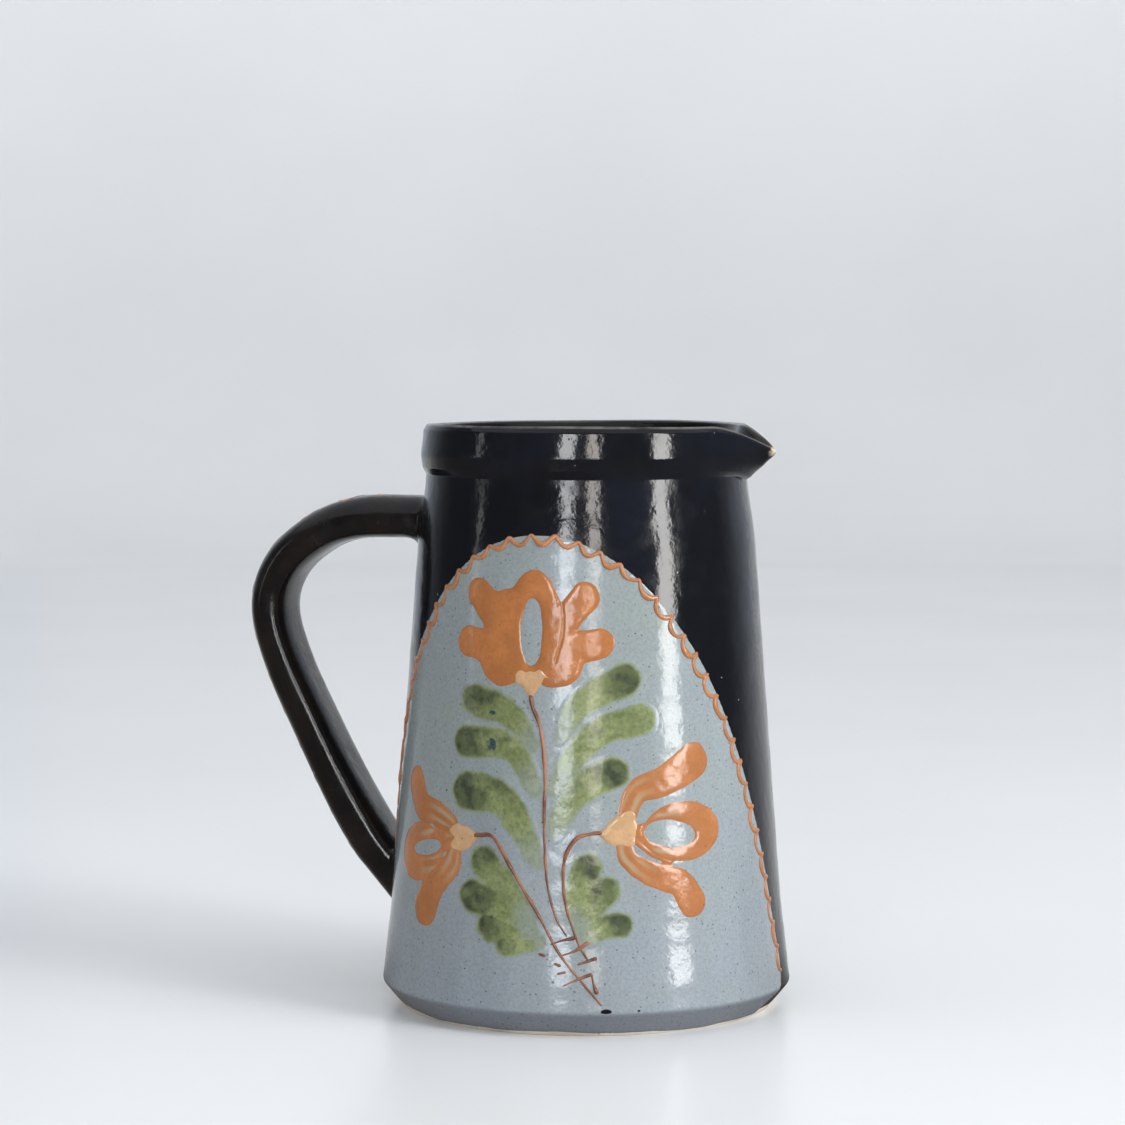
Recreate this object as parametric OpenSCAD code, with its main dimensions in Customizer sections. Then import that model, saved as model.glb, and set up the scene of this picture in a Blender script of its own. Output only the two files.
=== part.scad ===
// Stoneware pitcher: a thrown conical jug with a turned foot, a rim collar, a pinched
// pouring lip, a pulled strap handle and a slip-trailed flower spray on a pale panel.
// The front of the jug faces -Y, the lip points to +X and the handle to -X.

/* [Body] */
// Overall height, from the resting plane to the rim
height = 170; // [160:1:180]
// Radius where the foot stands
foot_r = 54.4; // [52:0.2:56]
// Height of the bevel above the foot
foot_h = 7.2; // [5:0.2:9]
// Radius of the tapering wall at its bottom
low_r = 59.05; // [58:0.05:61]
// Radius of the tapering wall at the neck
high_r = 48.1; // [47:0.1:50]
// Extra radius where the wall flares out to the bevel
flare = 0.85; // [0.5:0.05:1.2]
// Height over which the flare dies away
flare_h = 28; // [20:1:40]
// How far the wall tucks in under the collar
tuck = 1.1; // [0.8:0.1:1.5]
// Wall thickness
wall_t = 5; // [4:0.25:6]
// Thickness of the floor above the recess
floor_t = 4.8; // [4:0.2:5.5]

/* [Collar and lip] */
// Height of the collar band
collar_h = 14.7; // [12:0.1:17]
// Outer radius of the collar band
collar_r = 48.6; // [48.4:0.1:50]
// Reach of the lip from the axis
lip_reach = 57.3; // [55:0.1:60]
// How far the rim dips at the tip
lip_dip = 6.7; // [5:0.1:8]
// Half angle of the collar that the lip is pinched from
lip_half = 24; // [20:1:28]

/* [Handle] */
// Width of the strap
strap_w = 20; // [18:0.5:22]
// Thickness of the strap
strap_t = 12.5; // [11:0.5:14]
// Outermost reach of the strap's centre line
strap_reach = 97; // [95:1:104]
// Pitch of the wavy trail along the strap
strap_wave = 11; // [9:0.5:14]

/* [Decoration] */
// Height of the top of the pale panel
arch_top = 139; // [134:1:142]
// Half width of the panel, along the wall, at the foot
arch_half = 83; // [80:1:84]
// Pitch of the scalloped border
scallop_pitch = 7.1; // [6:0.1:8]
// Swing of the scalloped border to each side
scallop_swing = 1.2; // [0.8:0.1:1.6]
// Width of a slip trail
trail_w = 1.1; // [0.8:0.1:1.5]
// Height of a trail above the wall
trail_h = 0.8; // [0.5:0.1:1.2]
// Thickness of a petal
petal_h = 0.5; // [0.4:0.1:0.8]
// Thickness of a leaf
leaf_h = 0.3; // [0.2:0.05:0.5]
// Thickness of the pale panel
panel_t = 0.2; // [0.1:0.05:0.3]

/* [Hidden] */
$fn = 96;

neck_z = height - collar_h;
recess = foot_h - floor_t;      // how far the underside is hollowed above the foot ring
ring_w = 8.4;                   // width of the foot ring
wall_steps = 16;                // cones that make up the wall
tuck_z = neck_z - 21;           // where the wall starts to tuck in
cove_r = 9;                     // rounding between floor and wall, inside
wrap_r = 54;                    // radius at which lengths along the wall are true
arch_power = 1.55;              // fullness of the panel's arch
skin_gap = 0.06;                // clearance that keeps a trail off the curved wall
panel_inset = 1.9;              // how far the panel stays inside its border's middle line
clay = [0.09, 0.09, 0.10];
bare = [0.80, 0.70, 0.60];
pale = [0.64, 0.69, 0.71];
orange = [0.78, 0.47, 0.25];
cream = [0.87, 0.71, 0.52];
leaf = [0.46, 0.53, 0.30];
brown = [0.60, 0.36, 0.23];

// ---------- small helpers ----------
function ease(t) = let (c = min(max(t, 0), 1)) c * c * (3 - 2 * c);
function mix(a, b, t) = a * (1 - t) + b * t;
function unit(v) = v / norm(v);
function left(v) = [-v[1], v[0]];

// A smooth curve through the points p, with n steps between neighbours
function curve_at(a, b, c, d, t) =
    (2 * b + (c - a) * t + (2 * a - 5 * b + 4 * c - d) * t * t
     + (3 * b - a - 3 * c + d) * t * t * t) / 2;
function curve(p, n = 4) = let (m = len(p) - 1)
    [for (i = [0:m - 1]) for (k = [0:n - 1])
        curve_at(p[max(i - 1, 0)], p[i], p[i + 1], p[min(i + 2, m)], k / n), p[m]];

// Direction of the polyline c at its point i
function heading(c, i) = unit(c[min(i + 1, len(c) - 1)] - c[max(i - 1, 0)]);

// Length of the polyline c up to each of its points
function lengths(c) =
    [for (i = 0, sum = 0; i < len(c); i = i + 1,
          sum = sum + (i < len(c) ? norm(c[i] - c[i - 1]) : 0)) sum];

// ---------- thrown body ----------
// Outer radius of the wall at height z
function wall_r(z) =
    mix(low_r, high_r, (z - foot_h) / (neck_z - foot_h))
    + flare * (1 - ease((z - foot_h) / flare_h))
    - tuck * ease((z - tuck_z) / (neck_z - tuck_z));

wall_zs = [for (i = [0:wall_steps]) foot_h + i * (neck_z - foot_h) / wall_steps];
base_r = wall_r(foot_h);

// The wall's outer line, standing off it by d
function wall_line(d) = [for (z = wall_zs) [wall_r(z) + d, z]];

module turned_foot() color(bare)
    rotate_extrude() polygon([
        [0, recess], [foot_r - ring_w, recess], [foot_r - ring_w + recess / 2, 0], [foot_r - 0.6, 0],
        [foot_r, 0.6], [base_r - 0.4, foot_h - 0.6], [base_r, foot_h], [0, foot_h]]);

module body_wall() color(clay)
    rotate_extrude() polygon(concat(
        wall_line(0),
        [for (z = [for (i = [wall_steps:-1:2]) wall_zs[i]]) [wall_r(z) - wall_t, z]],
        [for (a = [0:15:90])
            [wall_r(wall_zs[1]) - wall_t - cove_r * (1 - cos(a)), foot_h + cove_r * (1 - sin(a))]]));

// Section of the collar, from its inner foot round over the rim to the neck
collar_line = [
    [wall_r(neck_z) - wall_t, neck_z], [wall_r(neck_z) - wall_t + 0.8, neck_z + 5],
    [collar_r - 4.2, height - 3.5], [collar_r - 3.2, height - 0.9], [collar_r - 1.9, height],
    [collar_r - 0.5, height - 0.6], [collar_r, height - 2], [collar_r, neck_z + 3.4],
    [collar_r - 0.7, neck_z + 1.3], [wall_r(neck_z), neck_z]];

module rim_collar() color(clay)
    rotate([0, 0, lip_half]) rotate_extrude(angle = 360 - 2 * lip_half) polygon(collar_line);

// The same section where the lip is pinched furthest out
tip_z = height - lip_dip;
tip_line = [
    collar_line[0], [46.5, neck_z + 3.3], [lip_reach - 6, tip_z - 2.2], [lip_reach - 2.4, tip_z - 0.4],
    [lip_reach - 0.9, tip_z], [lip_reach, tip_z - 0.7], [lip_reach - 0.2, tip_z - 2.2],
    [lip_reach - 4, neck_z + 1.8], [50, neck_z - 1.6], [collar_line[9][0] + 0.1, neck_z]];

lip_step = lip_half / 12;
lip_turns = [for (a = [-lip_half:lip_step:lip_half + lip_step / 2]) a];
function pinch(a) = pow(max(0, 1 - abs(a) / lip_half), 1.9);

// Closed skin over rows of points that all have the same count
module loft(rows) {
    n = len(rows[0]);
    m = len(rows) - 1;
    polyhedron(
        points = [for (row = rows) each row],
        faces = concat(
            [for (i = [0:m - 1]) for (j = [0:n - 1]) let (k = (j + 1) % n)
                each [[i * n + j, i * n + k, i * n + n + j], [i * n + k, i * n + n + k, i * n + n + j]]],
            [[for (j = [n - 1:-1:0]) j]],
            [[for (j = [0:n - 1]) m * n + j]]));
}

module pouring_lip() color(clay)
    loft([for (a = lip_turns)
        [for (j = [0:len(collar_line) - 1]) let (p = mix(collar_line[j], tip_line[j], pinch(a)))
            [p[0] * cos(a), p[0] * sin(a), p[1]]]]);

// ---------- handle ----------
strap_top = 141;      // height of the strap's centre line at the upper root
strap_end = 38;       // height of the middle of the lower root on the wall
root_reach = 8;       // length of each root, from the wall
strap_path = curve([
    [-wall_r(strap_top) - root_reach, strap_top], [-70, 140.6], [-strap_reach + 15, 136.5],
    [-strap_reach + 4, 127], [-strap_reach, 114], [-strap_reach + 4.5, 97],
    [-strap_reach + 14, 77], [-strap_reach + 24.3, 58], [-65.1, 45]], 7);
strap_last = len(strap_path) - 1;
strap_sides = 24;

// Outward normal of the strap at point i of its path
function strap_out(i) = let (d = heading(strap_path, i)) [d[1], -d[0]];

// Half section of the strap: flat towards the hand, domed outside; w across, t through
function strap_section(w, t) =
    [for (j = [0:strap_sides - 1]) let (a = 360 * j / strap_sides, s = sin(a))
        [w / 2 * cos(a) * (s < 0 ? 1 - 0.12 * s * s : 1), t * (s < 0 ? 0.42 * -pow(-s, 0.6) : 0.58 * s)]];

// A point of the strap: u across it and v outward, at point i of its path
function strap_point(i, u, v) = let (c = strap_path[i], o = strap_out(i))
    [c[0] + o[0] * v, u, c[1] + o[1] * v];

// A point on the wall at -X, at height z and across by y
function wall_point(y, z) = [-sqrt(pow(wall_r(z), 2) - y * y) - skin_gap, y, z];

module handle() color(clay)
    loft([for (i = [0:strap_last])
        [for (q = strap_section(strap_w, strap_t)) strap_point(i, q[0], q[1])]]);

// A root that spreads from the strap's end section i on to the wall, where it is spread_w wide
// and spread_t high around height z; turn is 1 where the outer side is up and -1 where it is down
module root(i, z, spread_w, spread_t, turn) {
    steps = 5;
    section = strap_section(strap_w, strap_t);
    spread = strap_section(spread_w, spread_t);
    rows = [for (k = [0:steps]) let (t = k / steps, e = 1 - pow(1 - t, 2.2))
        [for (j = [0:strap_sides - 1])
            let (on_wall = wall_point(spread[j][0], z + turn * spread[j][1]),
                 on_strap = strap_point(i, section[j][0], section[j][1]),
                 here = mix(on_wall, on_strap, t))
            [here[0], mix(on_wall[1], on_strap[1], e), mix(on_wall[2], on_strap[2], turn > 0 ? e : t)]]];
    n = strap_sides;
    cap = [for (k = [1:3]) [for (q = spread) wall_point(q[0] * (1 - k / 4), z + turn * q[1] * (1 - k / 4))]];
    all_rows = concat([for (k = [2:-1:0]) cap[k]], rows);
    m = len(all_rows) - 1;
    polyhedron(
        points = concat([for (row = all_rows) each row], [wall_point(0, z)]),
        faces = concat(
            [for (r = [0:m - 1]) for (j = [0:n - 1]) let (k = (j + 1) % n)
                each (turn > 0
                    ? [[r * n + j, r * n + k, r * n + n + j], [r * n + k, r * n + n + k, r * n + n + j]]
                    : [[r * n + k, r * n + j, r * n + n + j], [r * n + k, r * n + n + j, r * n + n + k]])],
            [for (j = [0:n - 1]) let (k = (j + 1) % n)
                turn > 0 ? [k, j, (m + 1) * n] : [j, k, (m + 1) * n]],
            [turn > 0 ? [for (j = [0:n - 1]) m * n + j] : [for (j = [n - 1:-1:0]) m * n + j]]));
}

lower_spread = [strap_w + 2, strap_t * 1.95];   // width and height of the lower root on the wall
module handle_upper_joint() color(clay) root(0, strap_top, strap_w + 4, strap_t + 2.5, 1);
module handle_lower_joint() color(clay)
    root(strap_last, strap_end, lower_spread[0], lower_spread[1], -1);

// Wavy trail along the strap's back
function strap_back(u) = strap_t * 0.58 * sqrt(max(0, 1 - pow(2 * u / strap_w, 2)));
strap_run = lengths(strap_path);
trail_steps = 8;
trail_pieces = floor(strap_run[strap_last] / strap_wave * trail_steps);

// Index of the path's point nearest to a run of d along it, and a point of the strap there
function strap_at(d, u, v) =
    let (i = max([for (k = [0:strap_last - 1]) if (strap_run[k] <= d) k]),
         t = (d - strap_run[i]) / (strap_run[i + 1] - strap_run[i]))
    mix(strap_point(i, u, v), strap_point(i + 1, u, v), t);

module handle_trail() color(orange) {
    line = [for (k = [0:trail_pieces]) let (d = k * strap_wave / trail_steps)
        [d, 4 * cos(360 * d / strap_wave)]];
    loft([for (k = [0:trail_pieces]) let (side = left(heading(line, k)))
        [for (q = [[-1, 0], [1, 0], [0.55, 1], [-0.55, 1]])
            let (p = line[k] + side * q[0] * trail_w / 2)
            strap_at(min(max(p[0], 0), strap_run[strap_last] - 0.01), p[1],
                     strap_back(p[1]) + 0.15 + q[1] * trail_h)]]);
}

// ---------- wrapped decoration ----------
// Places on the wall are [s, z]: s is the length along the wall from the front, z the height
function turn_of(s) = s / wrap_r * 180 / PI;
function on_wall(s, z, h) = let (a = turn_of(s), r = wall_r(z) + skin_gap + h)
    [r * sin(a), -r * cos(a), z];

// Edge of the panel: half its width at height z
function arch_s(z, inset = 0) =
    (arch_half - inset) * sqrt(max(0, 1 - pow(z / (arch_top - inset), arch_power)));

// A skin of the wall between standing off it by a and by b
module wall_skin(a, b) rotate_extrude() polygon(concat(
    wall_line(a), [for (i = [wall_steps:-1:0]) [wall_r(wall_zs[i]) + b, wall_zs[i]]]));

// Runs right through the jug from side to side; its child is a flat shape of [y, z]
module across() rotate([90, 0, 90]) translate([0, 0, -100]) linear_extrude(200) children();

module pale_panel() color(pale) {
    top = arch_top - panel_inset - 0.01;
    edge = [for (k = [0:24]) let (z = mix(foot_h - 1, top, 1 - pow(1 - k / 24, 2)))
        [-wall_r(z) * cos(turn_of(arch_s(z, panel_inset))), z]];
    difference() {
        intersection() {
            wall_skin(0, panel_t);
            across() polygon(concat([[-90, foot_h - 1]], edge, [[-90, edge[24][1]]]));
        }
        // room for the handle's lower root
        translate([-100, 0, 0]) across() translate([0, strap_end]) polygon(
            oval([0, -1], lower_spread[0] / 2 + 0.4, lower_spread[1] / 2 + 1.5));
    }
}

// The scalloped trail round the panel, from the foot on the left over the top to the right.
// It stops at the handle's lower root and goes on past it.
arch_steps = 400;
arch_first = 8;
arch = [for (k = [0:arch_steps]) let (a = mix(180 - arch_first, arch_first, k / arch_steps))
    [arch_half * cos(a), arch_top * pow(sin(a), 2 / arch_power)]];
arch_run = lengths(arch);
border_line = [for (k = [0:arch_steps]) arch[k]
    + left(heading(arch, k)) * scallop_swing * cos(360 * arch_run[k] / scallop_pitch)];
root_low = max([for (k = [0:arch_steps / 2])
    if (arch[k][1] < strap_end - lower_spread[1] / 2 - 2) k]);
root_high = min([for (k = [0:arch_steps / 2])
    if (arch[k][1] > strap_end + lower_spread[1] / 2 + 1) k]);

module border_part(first, last) loft([for (k = [first:last]) let (side = left(heading(border_line, k)))
    [for (q = [[-1, 0], [1, 0], [0.55, 1], [-0.55, 1]])
        let (p = border_line[k] + side * q[0] * trail_w / 2) on_wall(p[0], p[1], q[1] * trail_h)]]);

module scalloped_border() color(orange) {
    border_part(0, root_low);
    border_part(root_high, arch_steps);
}

// Outline of a brush stroke along c, half as wide as w0 at its start and w1 at its round end
function round_end(p, d, w) = [for (k = [1:5]) p + w * (left(d) * cos(30 * k) + d * sin(30 * k))];
function stroke(c, w0, w1) =
    let (n = len(c) - 1,
         rim = [for (i = [0:n]) left(heading(c, i)) * mix(w0, w1, i / n)])
    concat([for (i = [0:n]) c[i] + rim[i]], round_end(c[n], heading(c, n), w1),
           [for (i = [n:-1:0]) c[i] - rim[i]], round_end(c[0], -heading(c, 0), w0));
function oval(at, a, b) = [for (k = [0:15:345]) at + [a * cos(k), b * sin(k)]];

// Relief h high on the wall, cut square to the wall at s; its children are flat shapes
// whose points are given by flat()
module relief(s, h) rotate([0, 0, turn_of(s)]) intersection() {
    wall_skin(panel_t, panel_t + h);
    rotate([90, 0, 0]) linear_extrude(90) children();
}
function flat(points, s) = [for (p = points) [wall_r(p[1]) * sin(turn_of(p[0] - s)), p[1]]];
module shape(points, s) polygon(flat(points, s));

// A bloom: its own places are [along its axis, across it]; at is its foot, way its direction
function place(p, at, way) = at + [p[0] * cos(way) - p[1] * sin(way), p[0] * sin(way) + p[1] * cos(way)];
function placed(list, at, way) = [for (p = list) place(p, at, way)];

module petal(path, w0, w1, at, way, s) shape(placed(stroke(curve(path), w0, w1), at, way), s);

module calyx_shape(at, way, s) {
    shape(placed(stroke([[-1, 0], [3.6, 0]], 0.9, 3.4), at, way), s);
    shape(placed(oval([4, 2.6], 2.3, 2.3), at, way), s);
    shape(placed(oval([4, -2.6], 2.3, 2.3), at, way), s);
}

// hearts and the eye are ovals, [middle, half length, half width]; each petal is
// [path, half width at its root, half width of its round tip]
module bloom_shape(at, way, s, hearts, eye, petals) difference() {
    union() {
        for (h = hearts) shape(placed(oval(h[0], h[1], h[2]), at, way), s);
        for (p = petals) petal(p[0], p[1], p[2], at, way, s);
    }
    shape(placed(oval(eye[0], eye[1], eye[2]), at, way), s);
    calyx_shape(at, way, s);
}

crown_at = [-1, 96];
crown_s = -2;
left_at = [-18, 55];
left_s = -32;
right_at = [20, 57];
right_s = 36;
crown_way = 90;
left_way = 188;
right_way = 0;

crown_petals = [
    [[[8, 6], [12, 12], [13.5, 21.5]], 5, 4.6], [[[12, 6], [21, 12], [27.3, 18.5]], 6.5, 4.5],
    [[[7, -6], [12, -12], [14, -20]], 5.4, 4.4], [[[14, -6], [21, -10.5], [26.8, -15.6]], 3.6, 4.5]];
crown_hearts = [[[19, 0], 15.5, 9], [[9, 9], 7.5, 8], [[21, 8], 8, 6.5], [[9, -8], 7.4, 7.2]];
left_petals = [
    [[[4, 0], [14, 0.8]], 1.5, 4], [[[7.5, -4.1], [14, -7.6], [20.8, -9.4], [24.5, -16.1]], 2.6, 5],
    [[[6.5, 3.1], [8.7, 7.9], [15.9, 12.9], [20.4, 19.4]], 2.4, 5.2]];
right_petals = [
    [[[4, 0.5], [12, 0.5]], 1, 2.4], [[[4, 0], [11, -4.4], [18, -7.4]], 0.7, 1.4],
    [[[5.5, 3], [9, 11.4], [18, 14.7], [26.4, 19.4]], 2.4, 5.2],
    [[[5, -1], [6.5, -7], [13, -11.5], [21, -14.5], [24.5, -20]], 2, 4.5]];

module crown_bloom() color(orange) relief(crown_s, petal_h)
    bloom_shape(crown_at, crown_way, crown_s, crown_hearts, [[17, 0.3], 9.2, 3.1], crown_petals);
module crown_calyx() color(cream) relief(crown_s, petal_h + 0.1)
    calyx_shape(crown_at, crown_way, crown_s);
module left_bloom() color(orange) relief(left_s, petal_h)
    bloom_shape(left_at, left_way, left_s, [[[22.7, 3.4], 11.5, 8.8]], [[19, 2.4], 6.5, 2], left_petals);
module left_calyx() color(cream) relief(left_s, petal_h + 0.1)
    calyx_shape(left_at, left_way, left_s);
module right_bloom() color(orange) relief(right_s, petal_h)
    bloom_shape(right_at, right_way, right_s, [[[22.6, 0], 12.5, 8.7]], [[18.6, -0.4], 7.5, 3.6],
        right_petals);
module right_calyx() color(cream) relief(right_s, petal_h + 0.1)
    calyx_shape(right_at, right_way, right_s);

// Stems: trails that come together near the foot
stem_s = 6;
main_path = curve([[-1, 93.3], [2, 86], [3.5, 74], [3.5, 60], [4.5, 44], [7, 34], [10, 28.6]], 3);
left_path = curve([[-15.3, 55.3], [-11, 55], [-5, 46], [2, 35], [8, 24], [14, 16], [19, 9.6]], 3);
right_path = curve([[17.3, 57.2], [12, 55.5], [9, 49], [9.5, 38], [12.5, 28], [15.5, 22]], 3);

module main_stem() color(brown) relief(stem_s, petal_h)
    shape(stroke(main_path, 0.65, 0.4), stem_s);
module left_stem() color(brown) relief(stem_s, petal_h)
    shape(stroke(left_path, 0.65, 0.4), stem_s);
module right_stem() color(brown) relief(stem_s, petal_h)
    shape(stroke(right_path, 0.65, 0.4), stem_s);

tie_strokes = [
    [[5.5, 27.3], [14.8, 30.2]], [[4, 24.4], [16.4, 27]], [[6.8, 20.4], [17.6, 23.4]],
    [[9.4, 15.4], [17.2, 19]]];

module tie_shape() for (t = tie_strokes) shape(stroke(t, 0.45, 0.6), stem_s);

module stem_tie() color(brown) relief(stem_s, petal_h) difference() {
    tie_shape();
    for (c = [main_path, left_path, right_path]) shape(stroke(c, 0.7, 0.45), stem_s);
}

// Leaves run from a slim base at the stem to a round tip; each is [path, tip half width]
upper_left = [
    [[[0.5, 80], [-7, 91], [-19, 94]], 4.6], [[[0.5, 68], [-8, 79], [-22, 81]], 4.4],
    [[[2, 46], [-5, 62], [-20, 67]], 5.6]];
upper_right = [
    [[[5.6, 84], [14, 94], [26.5, 100]], 4.4], [[[6, 72], [15, 83], [30, 89]], 4.2],
    [[[6.2, 56], [12, 67], [23, 75]], 4.2]];
lower_left = [
    [[[-1, 33], [-7, 43], [-14, 48]], 3.8], [[[-1, 30], [-9, 37], [-17, 38]], 4.4],
    [[[0, 28], [-6, 30.5], [-12, 30]], 3.4], [[[2, 28], [-2, 27], [-6, 25.6]], 2.8]];
lower_right = [
    [[[12.5, 36], [14, 42], [15, 48]], 3.8], [[[13.5, 33], [17, 38], [20.5, 41]], 3.8],
    [[[15, 31], [19, 33], [23.5, 33]], 3]];

module leaves(list) color(leaf) relief(stem_s, leaf_h) difference() {
    for (p = list) shape(stroke(curve(p[0]), 0.9, p[1]), stem_s);
    for (c = [main_path, left_path, right_path]) shape(stroke(c, 0.95, 0.7), stem_s);
    tie_shape();
}

module upper_left_leaves() leaves(upper_left);
module upper_right_leaves() leaves(upper_right);
module lower_left_leaves() leaves(lower_left);
module lower_right_leaves() leaves(lower_right);

turned_foot();
body_wall();
rim_collar();
pouring_lip();
handle();
handle_upper_joint();
handle_lower_joint();
handle_trail();
pale_panel();
scalloped_border();
crown_bloom();
crown_calyx();
left_bloom();
left_calyx();
right_bloom();
right_calyx();
main_stem();
left_stem();
right_stem();
upper_left_leaves();
upper_right_leaves();
lower_left_leaves();
lower_right_leaves();
stem_tie();
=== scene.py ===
import math

import bpy
import numpy as np
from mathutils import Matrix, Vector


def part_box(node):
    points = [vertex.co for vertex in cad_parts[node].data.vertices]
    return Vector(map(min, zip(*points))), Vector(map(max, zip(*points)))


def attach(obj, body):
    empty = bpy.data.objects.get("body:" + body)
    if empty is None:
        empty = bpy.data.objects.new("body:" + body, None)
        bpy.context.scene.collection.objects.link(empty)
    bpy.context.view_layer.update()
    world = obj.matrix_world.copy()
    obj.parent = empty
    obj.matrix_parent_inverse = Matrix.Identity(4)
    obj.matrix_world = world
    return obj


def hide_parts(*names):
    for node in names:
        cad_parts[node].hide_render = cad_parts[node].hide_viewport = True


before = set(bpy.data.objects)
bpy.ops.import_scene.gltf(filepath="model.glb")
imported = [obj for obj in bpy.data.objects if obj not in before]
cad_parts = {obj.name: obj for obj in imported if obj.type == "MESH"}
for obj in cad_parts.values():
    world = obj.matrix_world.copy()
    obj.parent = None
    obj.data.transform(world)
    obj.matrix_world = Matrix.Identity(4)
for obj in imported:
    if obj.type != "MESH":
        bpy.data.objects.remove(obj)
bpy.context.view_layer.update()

MM = 0.001


def corner(node, which, axis):
    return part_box(node)[which][axis] / MM


# ---------- sizes ----------
HEIGHT = corner("rim_collar", 1, 2)
NECK_Z = corner("rim_collar", 0, 2)
FOOT_H = corner("turned_foot", 1, 2)
BASE_R = corner("turned_foot", 1, 1)
COLLAR_R = corner("rim_collar", 1, 1)

FOOT_R = 54.4          # foot ring's outer radius
RECESS = 2.4           # hollow under the floor
FLARE = 0.85           # extra radius where the wall meets the bevel
FLARE_H = 28
LOW_R = BASE_R - FLARE
HIGH_R = 48.1          # straight taper's radius at the neck
TUCK = 1.1             # how far the wall tucks in under the collar
TUCK_Z = NECK_Z - 21
WALL_T = 5
COVE_R = 9
WRAP_R = 54
LIP_HALF = math.radians(24)
ARCH_TOP = 139         # middle line of the scalloped border
ARCH_HALF = 83
ARCH_POWER = 1.55


def ease(t):
    c = np.clip(t, 0, 1)
    return c * c * (3 - 2 * c)


def mix(a, b, t):
    return a * (1 - t) + b * t


def curve(points, n=12):
    """Catmull-Rom curve through the points, n steps between neighbours."""
    p = np.array(points, float)
    last = len(p) - 1
    out = []
    for i in range(last):
        a, b, c, d = p[max(i - 1, 0)], p[i], p[i + 1], p[min(i + 2, last)]
        for k in range(n):
            t = k / n
            out.append(
                (2 * b + (c - a) * t + (2 * a - 5 * b + 4 * c - d) * t**2
                 + (3 * b - a - 3 * c + d) * t**3) / 2
            )
    out.append(p[-1])
    return np.array(out)


def run_of(path):
    """Length of a polyline up to each of its points."""
    return np.concatenate([[0], np.cumsum(np.linalg.norm(np.diff(path, axis=0), axis=1))])


def even(path, step):
    """The same polyline with points about step apart."""
    run = run_of(path)
    at = np.linspace(0, run[-1], max(2, int(run[-1] / step) + 1))
    return np.stack([np.interp(at, run, path[:, k]) for k in range(path.shape[1])], 1)


def unit(v):
    return v / np.maximum(np.linalg.norm(v, axis=-1, keepdims=True), 1e-9)


def headings(path):
    return unit(np.gradient(path, axis=0))


def right_of(d):
    return np.stack([d[:, 1], -d[:, 0]], 1)


# ---------- mesh building ----------
def show(name, data):
    ob = bpy.data.objects.new(name, data)
    bpy.context.scene.collection.objects.link(ob)
    return ob


def mesh_object(name, verts, faces, normals=None, flat=(), attributes=None):
    """A smooth mesh from millimetre points. normals are per vertex; faces listed in flat keep
    their own plane's normal. attributes are {name: a value per vertex}."""
    mesh = bpy.data.meshes.new(name)
    mesh.from_pydata((np.asarray(verts) * MM).tolist(), [], [list(f) for f in faces])
    for key, values in (attributes or {}).items():
        layer = mesh.attributes.new(key, "FLOAT", "POINT")
        layer.data.foreach_set("value", np.asarray(values, np.float32))
    mesh.polygons.foreach_set("use_smooth", np.ones(len(mesh.polygons), bool))
    if normals is not None:
        corners = np.zeros(len(mesh.loops), np.int32)
        mesh.loops.foreach_get("vertex_index", corners)
        per_loop = np.asarray(normals)[corners]
        for f in flat:
            poly = mesh.polygons[f]
            per_loop[poly.loop_start:poly.loop_start + poly.loop_total] = poly.normal
        mesh.normals_split_custom_set(per_loop.tolist())
    mesh.update()
    return show(name, mesh)


def place(ob, material, slot, *nodes):
    """Gives a piece its material and body, and hides the CAD nodes that it stands for."""
    ob.data.materials.append(material)
    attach(ob, "root")
    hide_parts(*nodes)


# ---------- the thrown body ----------
def taper(z):
    """Outer radius of the wall, before corners are rounded."""
    return (
        mix(LOW_R, HIGH_R, (z - FOOT_H) / (NECK_Z - FOOT_H))
        + FLARE * (1 - ease((z - FOOT_H) / FLARE_H))
        - TUCK * ease((z - TUCK_Z) / (NECK_Z - TUCK_Z))
    )


def rounded(corners, step=1.2, arc=8):
    """A line of (r, z) through corners (r, z, rounding), with no gap wider than step."""
    c = np.array(corners, float)
    line = [c[0, :2]]
    for before, here, after in zip(c[:-2], c[1:-1], c[2:]):
        p, radius = here[:2], here[2]
        if radius == 0:
            line.append(p)
            continue
        a, b = before[:2] - p, after[:2] - p
        a, b = a / np.linalg.norm(a), b / np.linalg.norm(b)
        half = math.acos(np.clip(a @ b, -1, 1)) / 2
        cut = radius / math.tan(half)
        for t in np.linspace(0, 1, arc):
            line.append((1 - t) ** 2 * (p + a * cut) + 2 * t * (1 - t) * p + t * t * (p + b * cut))
    line.append(c[-1, :2])
    dense = [line[0]]
    for q in line[1:]:
        gap = np.linalg.norm(q - dense[-1])
        n = max(1, math.ceil(gap / step - 0.05))
        start = dense[-1]
        dense += [mix(start, q, (k + 1) / n) for k in range(n)]
    return np.array(dense)


def cut_at(line, z):
    """Splits a line of (r, z) where it first crosses height z going up or down."""
    side = line[:, 1] > z
    i = int(np.argmax(side[1:] != side[:-1]))
    t = (z - line[i, 1]) / (line[i + 1, 1] - line[i, 1])
    p = mix(line[i], line[i + 1], t)
    after = i + 2 if t > 0.999 else i + 1
    return np.vstack([line[:i + 1], p]), np.vstack([p, line[after:]])


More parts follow.
